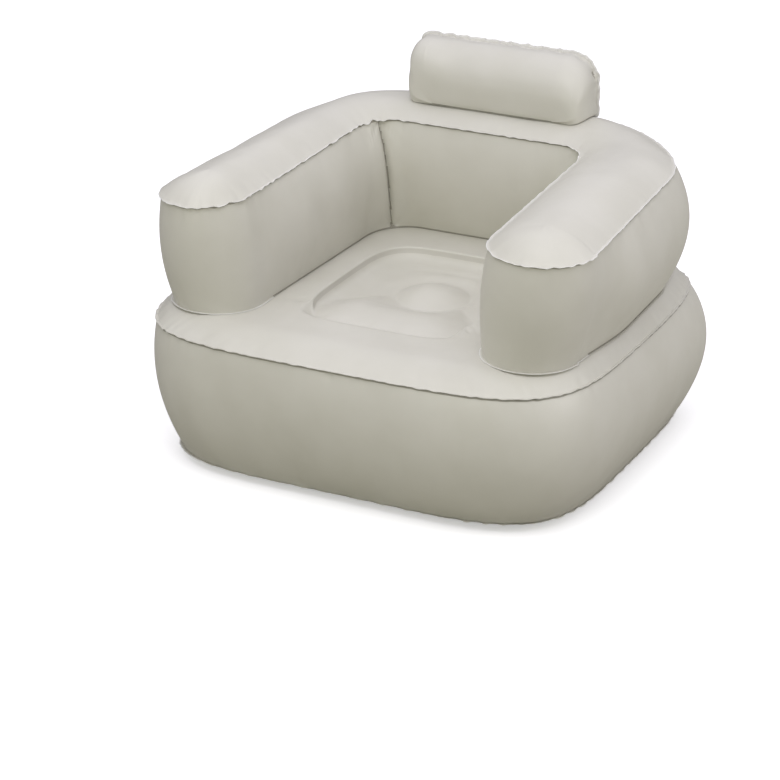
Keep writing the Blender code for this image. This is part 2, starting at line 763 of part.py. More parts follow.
def drill(wall, centre, radius):
    mesh = bmesh.new()
    bmesh.ops.create_cone(
        mesh,
        cap_ends=True,
        segments=LATHE_STEPS,
        radius1=radius,
        radius2=radius,
        depth=4 * VALVE_RIM,
        matrix=Matrix.Translation(centre) @ Matrix.Rotation(math.pi / 2, 4, "X"),
    )
    data = bpy.data.meshes.new(f"{wall.name}_drill")
    mesh.to_mesh(data)
    mesh.free()
    cutter = bpy.data.objects.new(f"{wall.name}_drill", data)
    collection("cutters").objects.link(cutter)
    cutter.hide_render = True
    cutter.display_type = "WIRE"
    cut = wall.modifiers.new("valve_hole", "BOOLEAN")
    cut.operation = "DIFFERENCE"
    cut.object = cutter


def neck_outer():
    return VALVE_BORE + VALVE_WALL + VALVE_CLEARANCE + VALVE_NECK_WALL


def valve_hole():
    return neck_outer() + GAP


def baked(made):
    """Replaces an object's mesh and modifiers by their result, with its sharp edges marked."""
    bpy.context.view_layer.update()
    result = bpy.data.meshes.new_from_object(made.evaluated_get(bpy.context.evaluated_depsgraph_get()))
    made.modifiers.clear()
    made.data = result
    result.shade_smooth()
    result.set_sharp_from_angle(angle=math.radians(35))
    return made


def turned(name, profile, place, kind):
    """A profile of radius and depth, clockwise from its top, turned about the valve's axis."""
    count = len(profile)
    joints = [(i, (i + 1) % count) for i in range(count)]
    if profile[0][0] == 0:
        joints.pop()
    data = bpy.data.meshes.new(name)
    data.from_pydata([(radius, 0, depth) for radius, depth in profile], joints, [])
    made = add(name, data, kind)
    screw = made.modifiers.new("turn", "SCREW")
    screw.steps = LATHE_STEPS
    screw.render_steps = LATHE_STEPS
    screw.use_merge_vertices = True
    screw.merge_threshold = GAP / 10
    baked(made)
    made.matrix_world = place
    return made


def block(size, middle):
    mesh = bmesh.new()
    bmesh.ops.create_cube(mesh, size=1, matrix=Matrix.Translation(middle) @ Matrix.Diagonal((*size, 1)))
    return mesh


def joined(base, others, place):
    """Boolean union with pieces that overlap the first."""
    for i, mesh in enumerate(others):
        data = bpy.data.meshes.new(f"{base.name}_join_{i}")
        mesh.to_mesh(data)
        mesh.free()
        helper = bpy.data.objects.new(data.name, data)
        collection("cutters").objects.link(helper)
        helper.hide_render = True
        helper.display_type = "WIRE"
        helper.matrix_world = place
        union = base.modifiers.new(f"join_{i}", "BOOLEAN")
        union.operation = "UNION"
        union.object = helper
    return base


def hung(made, place, pivot):
    """Moves an object's origin to its hinge line."""
    baked(made)
    made.data.transform(Matrix.Translation(-pivot))
    made.matrix_world = place @ Matrix.Translation(pivot)
    return made


def valve_frame(centre):
    """Axis out of the rear wall, with the hinges at the top of the valve."""
    return Matrix.Translation(centre) @ Matrix.Rotation(-math.pi / 2, 4, "X")


def screw_valve(label, centre):
    """Flanged seat in the wall, screw-in insert with its cross bars, one-way flap and hinged cap."""
    place = valve_frame(centre)
    neck_inner = VALVE_BORE + VALVE_WALL + VALVE_CLEARANCE
    rim = neck_outer() + VALVE_RIM
    chamfer = VALVE_RIM_THICKNESS / 2
    face = GAP + VALVE_RIM_THICKNESS
    bottom = -VALVE_DEPTH
    seat = turned(
        f"{label}_valve_seat",
        (
            (neck_inner, face),
            (rim - chamfer, face),
            (rim, face - chamfer),
            (rim, GAP),
            (neck_outer(), GAP),
            (neck_outer(), bottom),
            (neck_inner, bottom),
        ),
        place,
        VALVE_PLASTIC,
    )
    outer = VALVE_BORE + VALVE_WALL
    insert_low = face + GAP
    mouth = insert_low + VALVE_RIM_THICKNESS
    insert = turned(
        f"{label}_valve_insert",
        (
            (VALVE_BORE, mouth),
            (neck_outer() - chamfer, mouth),
            (neck_outer(), mouth - chamfer),
            (neck_outer(), insert_low),
            (outer, insert_low),
            (outer, bottom),
            (VALVE_BORE, bottom),
        ),
        place,
        VALVE_PLASTIC,
    )
    span = 2 * VALVE_BORE + VALVE_WALL
    middle = Vector((0, 0, bottom + VALVE_BAR * 0.75))
    bars = [block((span, VALVE_BAR, VALVE_BAR), middle), block((VALVE_BAR, span, VALVE_BAR / 2), middle)]
    joined(insert, bars, place)
    flap(label, place, VALVE_BORE + VALVE_WALL / 2, bottom - GAP)
    reach_out = rim - chamfer - LUG_LENGTH / 2
    hinge_line = cap(label, place, mouth + GAP, VALVE_BORE, neck_outer(), reach_out, STRAP_WIDTH)
    joined(seat, [lug(hinge_line, face - chamfer, STRAP_WIDTH)], place)


def pinch_valve(label, centre):
    """Short stem with a flange on the panel, one-way flap and hinged cap."""
    place = valve_frame(centre)
    outer = STEM_BORE + STEM_WALL
    rim = outer + STEM_RIM
    face = GAP + STEM_WALL
    mouth = STEM_LENGTH / 2
    bottom = -STEM_LENGTH / 2
    stem = turned(
        f"{label}_valve_stem",
        (
            (STEM_BORE, mouth),
            (outer, mouth),
            (outer, face),
            (rim - STEM_WALL / 2, face),
            (rim, face - STEM_WALL / 2),
            (rim, GAP),
            (outer, GAP),
            (outer, bottom),
            (STEM_BORE, bottom),
        ),
        place,
        VALVE_PLASTIC,
    )
    flap(label, place, STEM_BORE + STEM_WALL / 2, bottom - GAP)
    width = STEM_BORE + STEM_WALL
    reach_out = rim - STEM_WALL / 2 - LUG_LENGTH / 2
    hinge_line = cap(label, place, mouth + GAP, STEM_BORE, outer, reach_out, width)
    joined(stem, [lug(hinge_line, face - STEM_WALL / 2, width)], place)


def flap(label, place, radius, top):
    """One-way flap, hinged at its upper edge under the valve's tube."""
    data = bpy.data.meshes.new(f"{label}_valve_flap")
    mesh = bmesh.new()
    middle = Matrix.Translation((0, 0, top - FLAP_THICKNESS / 2))
    bmesh.ops.create_cone(
        mesh,
        cap_ends=True,
        segments=LATHE_STEPS,
        radius1=radius,
        radius2=radius,
        depth=FLAP_THICKNESS,
        matrix=middle,
    )
    mesh.to_mesh(data)
    mesh.free()
    made = add(f"{label}_valve_flap", data, FLAP_RUBBER)
    return hung(made, place, Vector((0, -radius, top)))


def cap(label, place, low, bore, mouth_radius, reach_out, width):
    """Cap with a short plug, and the strap that hinges it over the lug. Returns its hinge line's point."""
    edge = mouth_radius + CAP_LIP
    top = low + CAP_THICKNESS
    plug = bore - PLUG_CLEARANCE
    soft = CAP_THICKNESS / 3
    made = turned(
        f"{label}_valve_cap",
        (
            (0, top),
            (edge - soft, top),
            (edge, top - soft),
            (edge, low),
            (plug, low),
            (plug, low - PLUG_DEPTH + soft),
            (plug - soft, low - PLUG_DEPTH),
            (0, low - PLUG_DEPTH),
        ),
        Matrix(),
        VALVE_PLASTIC,
    )
    middle = low + CAP_THICKNESS / 2
    start = mouth_radius - CAP_LIP
    strap = block((width, reach_out - start, STRAP_THICKNESS), Vector((0, -(reach_out + start) / 2, middle)))
    joined(made, [strap], Matrix())
    pivot = Vector((0, -reach_out, middle))
    hung(made, place, pivot)
    return pivot


def lug(hinge_line, foot, width):
    """Anchor under the strap's end, standing on the flange."""
    top = hinge_line.z - STRAP_THICKNESS / 2 - GAP
    size = (width, LUG_LENGTH, top - foot)
    return block(size, Vector((0, hinge_line.y, (top + foot) / 2)))


def build():
    clear_scene()
    side_wall()
    seat_top()
    base_bottom()
    tension_bands()
    arm_wall()
    arm_top()
    arm_foot()
    corner_ties()
    headrest_valve = headrest()
    screw_valve("base", base_valve_place())
    screw_valve("back", back_valve_place())
    pinch_valve("headrest", headrest_valve)


build()
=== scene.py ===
"""Looks of the inflatable armchair: its welded sheets, their materials, floor, light and camera.

Metres, +Z up, the sitter faces -Y. A sheet is a grid of closed rows, from weld to weld.
Pleats are given as (seed, count, depth, reach, width), ripples as (seed, shortest, longest, height).
"""

import math

import bmesh
import bpy
import numpy as np
from mathutils import Matrix, Vector


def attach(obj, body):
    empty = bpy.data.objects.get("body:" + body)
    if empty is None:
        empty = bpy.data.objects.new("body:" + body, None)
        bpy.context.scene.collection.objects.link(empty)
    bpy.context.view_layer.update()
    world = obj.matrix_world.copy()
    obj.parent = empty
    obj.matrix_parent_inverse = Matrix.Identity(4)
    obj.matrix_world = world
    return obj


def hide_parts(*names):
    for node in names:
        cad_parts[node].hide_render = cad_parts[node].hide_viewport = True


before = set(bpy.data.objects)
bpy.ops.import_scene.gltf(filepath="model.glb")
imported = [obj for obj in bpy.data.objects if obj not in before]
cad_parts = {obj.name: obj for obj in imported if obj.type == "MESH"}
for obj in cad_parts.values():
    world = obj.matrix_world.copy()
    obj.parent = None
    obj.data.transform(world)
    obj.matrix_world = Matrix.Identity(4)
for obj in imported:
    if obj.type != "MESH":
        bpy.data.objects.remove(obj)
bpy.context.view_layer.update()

# Surfaces of a sheet, in the order of its materials: plain, a painted highlight on flange edges, painted dark
# shade and painted soft shade
PLAIN, PAINTED_HIGHLIGHT, PAINTED_DARK_SHADE, PAINTED_SOFT_SHADE = range(4)

# Sheet and welds
SHEET = 0.0004
GAP = 0.0003
WELD = 0.006
WELD_TILT = math.radians(4)
EDGE_PARTS = (1, 0.72, 0)  # rows of a flange: the first two bound its cut edge, which carries a painted highlight
HALF_SEAM = SHEET + GAP / 2
SHARP_EDGE = math.radians(42)
SEAM_FADE = 0.03  # how far a seam's waves reach into a wall
CREST_FADE = 0.02  # the same on a top panel
STRAIGHT_LIFE = 0.45  # waves on a straight stretch, as a part of those on a bend
SEAM_FLUTTER = math.radians(9)
FOOT_SEAM_TILT = math.radians(20)
FOOT_SEAM_WIDTHS = (1.1, 1.8)  # on a straight stretch and on a bend, as parts of the top weld's
WAVE_TERMS = 16
SHARPEST = 20  # curvature per metre above which all bends count alike
SHARP_SAMPLES = 800
SHARP_WINDOW = 41

# Base chamber
BASE_COLUMNS = 740
BASE_SEED = 11
BASE_X = 0.526
BASE_Y = 0.470
FRONT_POWER = 4.6
REAR_POWER = 6.0
PAD_POWER = 4.6
SEAM_Z = 0.329
BASE_BULGE = 0.034
FOOT_INSET = 0.046
FOOT_LEAN = 0.003
FOOT_SPREAD = 0.009
WALL_LEAN = 0.010
FOOT_Z = 0.019
FOOT_ROLL = 0.06
REAR_TRIM = 0.026
CORNER_TURN = math.radians(44)  # of the rear corners, seen from the seat, off the rear
CORNER_SPREAD = 0.34
WALL_SHARES = np.concatenate(
    [[0, 0.008, 0.022, 0.045], np.linspace(0.08, 0.92, 24), [0.945, 0.962, 0.975, 0.984, 0.992, 0.997]]
)
BOTTOM_SHARES = (0.12, 0.3, 0.5, 0.7, 0.86, 1.0)
WALL_TOP_PLEATS = (21, 150, 0.0017, 0.030, 0.007)
WALL_FOOT_PLEATS = (22, 190, 0.0020, 0.036, 0.008)
WALL_RIPPLE = (23, 0.10, 0.34, 0.0011)

# Seat surface
SEAT_Z = 0.364
SHOULDERS = (0.034, 0.086)  # how far in the seat still rises, at its sides and at its front
EDGE_LIP = 0.003
EDGE_DROP = 0.003
FRONT_LIP = 0.032
FRONT_DROP = 0.019
PAD_STEP = 0.015
PAD_DISH = 0.017
PAD_PLUMP = 0.003
PAD_TURN = 0.52
PAD_SWELL = 0.013
COIL_RADIUS = 0.085
COIL_DEPTH = 0.0445
COIL_DOME = 0.027
PAD_X = 0.194
PAD_BACK = 0.204
PAD_FRONT = -0.264
PAD_Y = (PAD_BACK - PAD_FRONT) / 2
PAD_MIDDLE = (PAD_BACK + PAD_FRONT) / 2
COIL_BACK = 0.060
SHOULDER_FRONT = (0.50, 0.80)  # where a ray's -sin starts to count as front, and where it fully does
LIP_FRONT = (0.66, 0.82)
PAD_FORWARD = (0.45, 0.90)
# front share of a ray below which the pad's rim gets painted soft shade
SOFT_SHADE_FRONT_LIMIT = 0.4
SHOULDER_POWER = 1.9
PAD_STEP_SHARE = 0.03
PLUMP_PLACE = (0.36, 0.15)  # middle and width
SWELL_TURN = 0.42
SWELL_POWER = 2.3
SWELL_START = 0.12
COIL_FALL_REAR = (0.74, 1)
COIL_FALL_FRONT = (0.45, 1)
COIL_POWER = 1.25
SHOULDER_SHARES = (0.02, 0.06, 0.12, 0.2, 0.3, 0.42, 0.55, 0.7, 0.85, 1.0)
SHOULDER_SPAN = 0.055
SHOULDER_WIDTH = 0.05
BORDER_ROWS = 15
LIP_SHARES = (0.16, 0.32, 0.48, 0.62, 0.75, 0.86, 0.94, 1.0)
PAD_SHARES = (
    *(0.012, 0.026, 0.044, 0.066, 0.095, 0.13, 0.18, 0.24, 0.31, 0.38),
    *(0.46, 0.54, 0.62, 0.7, 0.78, 0.85, 0.91, 0.96, 1.0),
)
COIL_SHARES = (0.98, 0.95, 0.9, 0.84, 0.77, 0.68, 0.58, 0.46, 0.34, 0.2, 0.08)
GROOVE_ROW = 3 + len(SHOULDER_SHARES) + BORDER_ROWS + len(LIP_SHARES) - 1  # after the weld's three rows
SEAT_PLEATS = (31, 160, 0.0013, 0.026, 0.007)
BORDER_PLEATS = (32, 120, 0.0010, 0.026, 0.006)
BORDER_PLEAT_ROWS = 16
PAD_PLEATS = (33, 120, 0.0013, 0.026, 0.006)

# Fold that runs outwards from each front corner of the pad
FOLD_START = PAD_X - 0.006
FOLD_LENGTH = 0.075
FOLD_LINE = (-0.214, -0.196)  # y at its two ends
FOLD_DEPTH = 0.0042
FOLD_WIDTH = 0.008
FOLD_FADES = (0.12, 0.9)
FOLD_LOWEST = SEAT_Z - 0.012

# Arm and back chamber
BACK_COLUMNS = 40
BEND_COLUMNS = 75
ARM_COLUMNS = 70
TIP_COLUMNS = 60
ARM_SEED = 15
ARM_WOBBLE = 0.0007
ARM_DROOP = math.radians(42)  # of the weld on the left arm's outer side
BEND = 0.195
SPLAY = 0.046
FRONT_WALL = 0.249
BACK_WALL = 0.279
INNER_BULGE = 0.030
OUTER_BULGE = 0.044
TIP_BULGE = 0.35
OUTER_TRIM = 0.016  # rounder outer corners at the rear
ARM_CROWN = 0.048
BACK_CROWN = 0.029
CROWN_POWER = 2.2
STACK_Z = SEAT_Z + 2 * (SHEET + GAP)
ARM_WALL_SHARES = np.concatenate(
    [[0.004, 0.009, 0.014, 0.025, 0.045, 0.07], np.linspace(0.10, 0.90, 24), [0.93, 0.955, 0.975, 0.99, 1.0]]
)
ARM_CREST_SHARES = (
    *(0.012, 0.03, 0.055, 0.085, 0.125, 0.175, 0.235, 0.3),
    *(0.37, 0.45, 0.54, 0.63, 0.72, 0.81, 0.9, 1.0),
)
ARM_HEIGHT = 0.26
ARM_PLEAT_HEIGHT = 0.25
ARM_TOP_PLEATS = (41, 230, 0.0016, 0.028, 0.006)
ARM_FOOT_PLEATS = (42, 230, 0.0018, 0.030, 0.007)
ARM_RIPPLE = (43, 0.12, 0.36, 0.0012)
ARM_FOOT_RIPPLE = (44, 0.02, 0.08, 0.0006)
ARM_FOOT_NARROW = 0.3  # width of the foot's flange behind the tips, as a part of its width at them
ARM_CREST_SPAN = 0.11
CREST_PLEATS = (51, 240, 0.0013, 0.024, 0.006)
CREST_RIPPLE = (52, 0.10, 0.30, 0.0009)
CREST_RIPPLE_LIMIT = 0.002
LEFT_SLIM = 0.037
LEFT_SINK = 0.0075
LEFT_HEIGHT = 0.29
LEFT_OUTER_X = (-0.30, -0.46)
LEFT_REAR_Y = (0.43, 0.28)
LEFT_SINK_FRONT_Y = (-0.29, -0.05)
LEFT_SINK_REAR_Y = (0.43, 0.21)
LEFT_LOW = 0.12  # the slimming at the foot, as a part of that at the top
RIGHT_SPREAD = 0.034
RIGHT_HEIGHT = 0.24
RIGHT_OUTER_X = (0.35, 0.45)
RIGHT_FRONT_Y = (-0.34, -0.04)
RIGHT_REAR_X = (0.15, 0.40)
RIGHT_REAR_Y = (0.30, 0.42)
RIGHT_REAR_SHARE = 0.8
ARM_TIP_Y = (-0.19, -0.29)
ARM_INNER_X = (0.36, 0.31)
ARM_INNER_Y = (0.29, 0.24)
ARM_INNER_LIFE = 1.4  # extra waves on the left arm's inner weld
ARM_DROOP_X = (-0.44, -0.49)
TRIM_TURN = (0.72, 0.55)  # middle and width of the rounder corners, radians from +X

# Folds of the two inner corners
CREASE_COLUMN = BACK_COLUMNS + BEND_COLUMNS // 2
CREASE_REACH = 74  # columns on each side
CREASE_OFFSETS = (0.020, 0.040)  # off the corner's middle, at the top and at the foot
# half width of the painted shade line down each crease
CREASE_SHADE_HALF_WIDTH = 0.0016
CREASE_CUT = (0.0200, 0.0048)  # depth and width
CREASE_HOLLOW = (0.0060, 0.028)
CREASE_PLEATS = ((-0.95, 0.032, 0.0032), (0.75, 0.040, 0.0036), (0.2, 0.055, 0.0026))  # lean, length, depth
CREASE_FORK_WIDTH = 0.0032
CREASE_FOOT_WIDTH = 0.0040
CREASE_FOOT_LENGTH = 0.8

# Headrest
REST_X = 0.214
REST_HEIGHT = 0.126
REST_DEPTH = 0.120
REST_SWELL = 0.012
REST_BULGE = 0.014
REST_BULGE_TURN = 0.56
REST_CORNERS = (0.062, 0.020)  # upper right and upper left
REST_FOOT_CORNER = 0.008
REST_END = 0.065
REST_BACKWARD = 0.074  # behind the back's middle line
REST_RAISED = 0.004
REST_LIFT = 0.0025
REST_EAR = 0.013
REST_EAR_X = (-0.17, -0.20)
REST_EAR_Z = (-0.01, 0.03)
REST_EAR_PULL = 1.3
REST_EAR_SHARE = 0.40
REST_SWELL_TURN = 1.6
REST_SWELL_LOSS = 0.35
REST_LEFT_X = (-0.10, -0.20)
REST_LEFT_POWER = 0.45
REST_LOW_Z = (-0.02, -0.06)
REST_LOW_DEPTH = 0.94
REST_LOW_EDGE = 0.97
REST_UPPER_Z = (-0.045, -0.015)
REST_END_X = (0.14, 0.19)
REST_RIGHT_X = (0.17, 0.20)
REST_RIGHT_Z = (-0.015, 0.005)
REST_COLUMNS = 440
REST_CORNER_POINTS = 40
REST_EDGE_PARTS = (1, 0.5, 0)
REST_FADE = 0.012
REST_RIPPLE = (61, 0.015, 0.05, 0.0010)
DEPTH_RIPPLE = (62, 0.014, 0.05, 0.0017)
REST_PLEATS = (63, 130, 0.0036, 0.020, 0.0045)
REST_END_PLEATS = (64, 80, 0.0050, 0.034, 0.0055)
REST_BACK_PLEATS = (65, 120, 0.0016, 0.016, 0.005)
REST_RIGHT_PLEATS = (66, 44, 0.0130, 0.046, 0.0050)
# pucker depth beyond which shade is painted into them
REST_SHADE_DEPTH = 0.0042
REST_BACK_SHARES = np.array((0.02, 0.05, 0.09, 0.14, 0.2, 0.27, 0.35, 0.44, 0.56, 0.7, 0.85, 0.97))
REST_BACK_SPAN = 0.06
REST_PLEAT_SPAN = 0.063
PROFILE_STEPS = 5
FRONT_PROFILE = (  # how far forwards, and how far in from the ends and from the top
    (0.0, 0.0, 0.0),
    (0.16, 0.0, 0.004),
    (0.34, 0.0, 0.028),
    (0.53, 0.01, 0.085),
    (0.70, 0.035, 0.17),
    (0.83, 0.08, 0.28),
    (0.925, 0.15, 0.41),
    (0.98, 0.25, 0.55),
    (1.0, 0.38, 0.68),
    (0.995, 0.56, 0.80),
    (0.98, 0.78, 0.91),
    (0.955, 0.985, 0.985),
)

# Middles of the valves' flat patches, the patches' radii and the valves' holes
BASE_VALVE = (0.20307, 0.47775, 0.1678)
BACK_VALVE = (-0.03811, 0.48191, 0.51037)
REST_VALVE = (0.09, 0.46205, 0.73592)
PATCH = (0.030, 0.062)  # flat within the first radius, free beyond the second
REST_PATCH = (0.017, 0.032)
VALVE_HOLE = 0.0213
REST_VALVE_HOLE = 0.0065
PATCH_DEPTH = 0.03
HOLE_DEPTH = 0.02

# Camera
PHOTO_WIDTH = 780
SENSOR_WIDTH = 36
CAMERA_PLACE = Vector((2.691, -5.619, 2.778))
FOCAL_PIXELS = 2982.8
AZIMUTH = math.radians(25.70)
ELEVATION = math.radians(21.37)
AIM_PIXEL = (31.62, -96.78)  # the photograph's middle, right of and above the point the angles aim at
CLIP_END = 100

# Light and background
LIT_POINT = (0, 0, 0.3)
FLOOR_SIDE = 30
FLOOR_GLOW = 0.42
FLOOR_BOUNCE = (0.40, 0.39, 0.33)
FLOOR_SEEN = (0.86, 0.86, 0.86)
SKY_LOW = (0.03, 0.03, 0.02)
SKY_HIGH = (1.18, 1.16, 1.28)
GRAIN_SCALE = 900


# Numbers


def lerp(a, b, share):
    return a + (b - a) * share


def smooth(share):
    """A share that starts and stops gently."""
    share = np.clip(share, 0, 1)
    return share * share * (3 - 2 * share)


def rise(value, start, end):
    """A smooth share that is 0 at start and 1 at end, which may lie below start."""
    return smooth((value - start) / (end - start))


def rounded(share, turn, power):
    """Rises from 0 and levels out at 1, which it reaches at turn."""
    return 1 - (1 - min(1, share / turn)) ** power


def arc(loop):
    """Distance along a closed outline at each point, and its whole length."""
    steps = np.linalg.norm(np.roll(loop, -1, 0) - loop, axis=1)
    return np.concatenate([[0], np.cumsum(steps)[:-1]]), steps.sum()


def bell(value, width):
    """1 where value is 0, fading out over about the width on both sides."""
    return np.exp(-((value / width) ** 2))


def waves(place, length, seed, shortest, longest, height=1):
    """A smooth random curve that closes on itself, about as high as height, with wavelengths in metres."""
    rng = np.random.default_rng(seed)
    total = np.zeros_like(place)
    for _ in range(WAVE_TERMS):
        count = round(length / rng.uniform(shortest, longest))
        total += np.sin(2 * np.pi * (count * place / length + rng.random()))
    return total / math.sqrt(WAVE_TERMS) * height


def puckers(place, length, away, seed, count, depth, reach, width, weight=None):
    """Small folds that start at a weld and fade out: how far the sheet sinks at each row and column."""
    rng = np.random.default_rng(seed)
    total = np.zeros((len(away), len(place)))
    away = np.broadcast_to(away, total.shape)
    for _ in range(count):
        at, keep, strength, long, wide, lean = rng.random(6)
        at *= length
        if weight is not None and keep > np.interp(at, place, weight):
            continue
        strength = depth * (0.25 + 0.75 * strength * strength)
        long = reach * (0.5 + long)
        wide = width * (0.7 + 0.8 * wide)
        across = (place - at + (lean - 0.5) * 0.5 * away + length / 2) % length - length / 2
        spread = wide * (1 + 1.1 * away / long)
        total -= strength * bell(across, spread) * np.exp(-((away / long) ** 1.5))
    return total * smooth(away / 0.006)


def normals(grid):
    """Unit normals of a grid of rows whose columns close up."""
    along = np.roll(grid, -1, 1) - np.roll(grid, 1, 1)
    across = np.gradient(grid, axis=0)
    found = np.cross(along, across)
    return found / np.maximum(np.linalg.norm(found, axis=2, keepdims=True), 1e-12)


def sharpness(loop, length, place):
    """How strongly an outline bends, from 0 to 1, smoothed over a few centimetres."""
    step = np.roll(loop, -1, 0) - loop
    heading = np.unwrap(np.arctan2(step[:, 1], step[:, 0]))
    turned = np.abs(np.roll(heading, -1) - heading)
    turned[-1] = turned[-2]
    spacing = np.maximum(np.linalg.norm(step, axis=1), 1e-6)
    bend = np.minimum(turned / spacing, SHARPEST)
    even = np.linspace(0, length, SHARP_SAMPLES, endpoint=False)
    bend = np.interp(even, place, bend)
    window = np.hanning(SHARP_WINDOW)
    half = SHARP_WINDOW // 2
    padded = np.concatenate([bend[-half:], bend, bend[:half]])
    bend = np.convolve(padded, window / window.sum(), "valid")
    return np.interp(place, even, bend / bend.max())


# Meshes


def make_object(name, data):
    made = bpy.data.objects.new(name, data)
    bpy.context.scene.collection.objects.link(made)
    return made


def make_mesh(name, points, faces, kinds=None):
    data = bpy.data.meshes.new(name)
    data.from_pydata(points.tolist(), [], faces)
    if kinds is not None:
        data.polygons.foreach_set("material_index", kinds)
    return make_object(name, data)


def thicken(piece, side):
    """Gives a surface the sheet's thickness, inwards for -1 and outwards for 1."""
    solid = piece.modifiers.new("sheet", "SOLIDIFY")
    solid.thickness = SHEET
    solid.offset = side


def cut_hole(points, faces, kinds, centre, radius):
    """Leaves out the rear wall's faces within a radius and draws the rim's points onto a circle."""
    cx, cy, cz = centre
    away = np.hypot(points[:, 0] - cx, points[:, 2] - cz)
    inside = (np.abs(points[:, 1] - cy) < HOLE_DEPTH) & (away < radius)
    gone = inside[faces].all(1)
    edge = np.zeros(len(points), bool)
    edge[faces[~gone & inside[faces].any(1)]] = True
    edge &= inside
    stretch = radius / np.maximum(away[edge], 1e-6)
    points[edge, 0] = cx + (points[edge, 0] - cx) * stretch
    points[edge, 2] = cz + (points[edge, 2] - cz) * stretch
    return faces[~gone], kinds[~gone]


def sheet(name, grid, kinds, outward, filled=False, hole=None):
    """A piece of sheet over a grid of rows. kinds gives each face's surface, and outward is a hint."""
    rows, columns = grid.shape[:2]
    index = np.arange(rows * columns).reshape(rows, columns)
    after = np.roll(index, -1, 1)
    faces = np.stack([index[:-1], after[:-1], after[1:], index[1:]], -1).reshape(-1, 4)
    kinds = kinds[:-1].reshape(-1)
    points = grid.reshape(-1, 3).copy()
    if hole is not None:
        faces, kinds = cut_hole(points, faces, kinds, *hole)
    faces = faces.tolist()
    kinds = kinds.tolist()
    if filled:
        faces.append(index[-1].tolist())
        kinds.append(PLAIN)
    made = make_mesh(name, points, faces, kinds)
    mesh = bmesh.new()
    mesh.from_mesh(made.data)
    bmesh.ops.remove_doubles(mesh, verts=mesh.verts[:], dist=SHEET / 20)
    loose = [vert for vert in mesh.verts if not vert.link_faces]
    bmesh.ops.delete(mesh, geom=loose, context="VERTS")
    bmesh.ops.recalc_face_normals(mesh, faces=mesh.faces[:])
    mesh.faces.ensure_lookup_table()
    hint = Vector(outward)
    probe = max(mesh.faces, key=lambda face: face.calc_center_median() @ hint)
    if probe.normal @ hint < 0:
        bmesh.ops.reverse_faces(mesh, faces=mesh.faces[:])
    mesh.to_mesh(made.data)
    mesh.free()
    made.data.shade_smooth()
    made.data.set_sharp_from_angle(angle=SHARP_EDGE)
    thicken(made, -1)
    return made


def surfaces(grid, highlight_rows=()):
    """The surface of each face of a grid, by row and column: plain, or a painted highlight on a flange's
    edge.
    """
    kinds = np.full(grid.shape[:2], PLAIN)
    kinds[list(highlight_rows)] = PAINTED_HIGHLIGHT
    return kinds


def flat_patch(grid, centre, radius, fade):
    """Draws the rear wall flat where a valve sits on it."""
    cx, cy, cz = centre
    away = np.hypot(grid[..., 0] - cx, grid[..., 2] - cz)
    share = rise(away, fade, radius) * (grid[..., 1] > cy - PATCH_DEPTH)
    grid[..., 1] = lerp(grid[..., 1], cy, share)
    return share


# Base chamber


def reach(angle, half_x, half_y, middle, front_power, rear_power):
    """Distance from the pad's middle to a superellipse centred at y = middle, along each angle."""
    near = np.zeros_like(angle)
    far = near + 2
    for _ in range(44):
        half = (near + far) / 2
        x = np.abs(np.cos(angle) * half) / half_x
        y = (PAD_MIDDLE + np.sin(angle) * half - middle) / half_y
        power = np.where(y > 0, rear_power, front_power)
        inside = x**power + np.abs(y) ** power < 1
        near = np.where(inside, half, near)
        far = np.where(inside, far, half)
    return (near + far) / 2


def rays(count):
    """Angles around the pad's middle, closer together at the corners."""
    even = np.linspace(0, 2 * np.pi, count, endpoint=False)
    return even + 0.45 * np.sin(4 * even) / 4


def base_reach(angle, inset):
    return reach(angle, BASE_X - inset, BASE_Y - inset, 0, FRONT_POWER, REAR_POWER)


def foot_inset(angle):
    """How far the bottom weld stands in: less at the sides, and least at +X."""
    return FOOT_INSET - FOOT_LEAN * np.cos(angle) - FOOT_SPREAD * np.cos(angle) ** 2


def corner_trim(angle):
    """How far the top weld stands in at the rounder rear corners."""
    corner = np.abs(np.abs(angle % (2 * np.pi) - np.pi / 2) - CORNER_TURN)
    return REAR_TRIM * bell(corner, CORNER_SPREAD)


def pad_reach(angle, grown):
    return reach(angle, PAD_X + grown, PAD_Y + grown, PAD_MIDDLE, PAD_POWER, PAD_POWER)


def ray_points(angle, distance, height, shift=(0, 0)):
    """Points on rays from the pad's middle, moved by a shift in x and y."""
    x = shift[0] + distance * np.cos(angle)
    y = shift[1] + PAD_MIDDLE + distance * np.sin(angle)
    return np.stack([x, y, np.broadcast_to(height, x.shape)], -1)


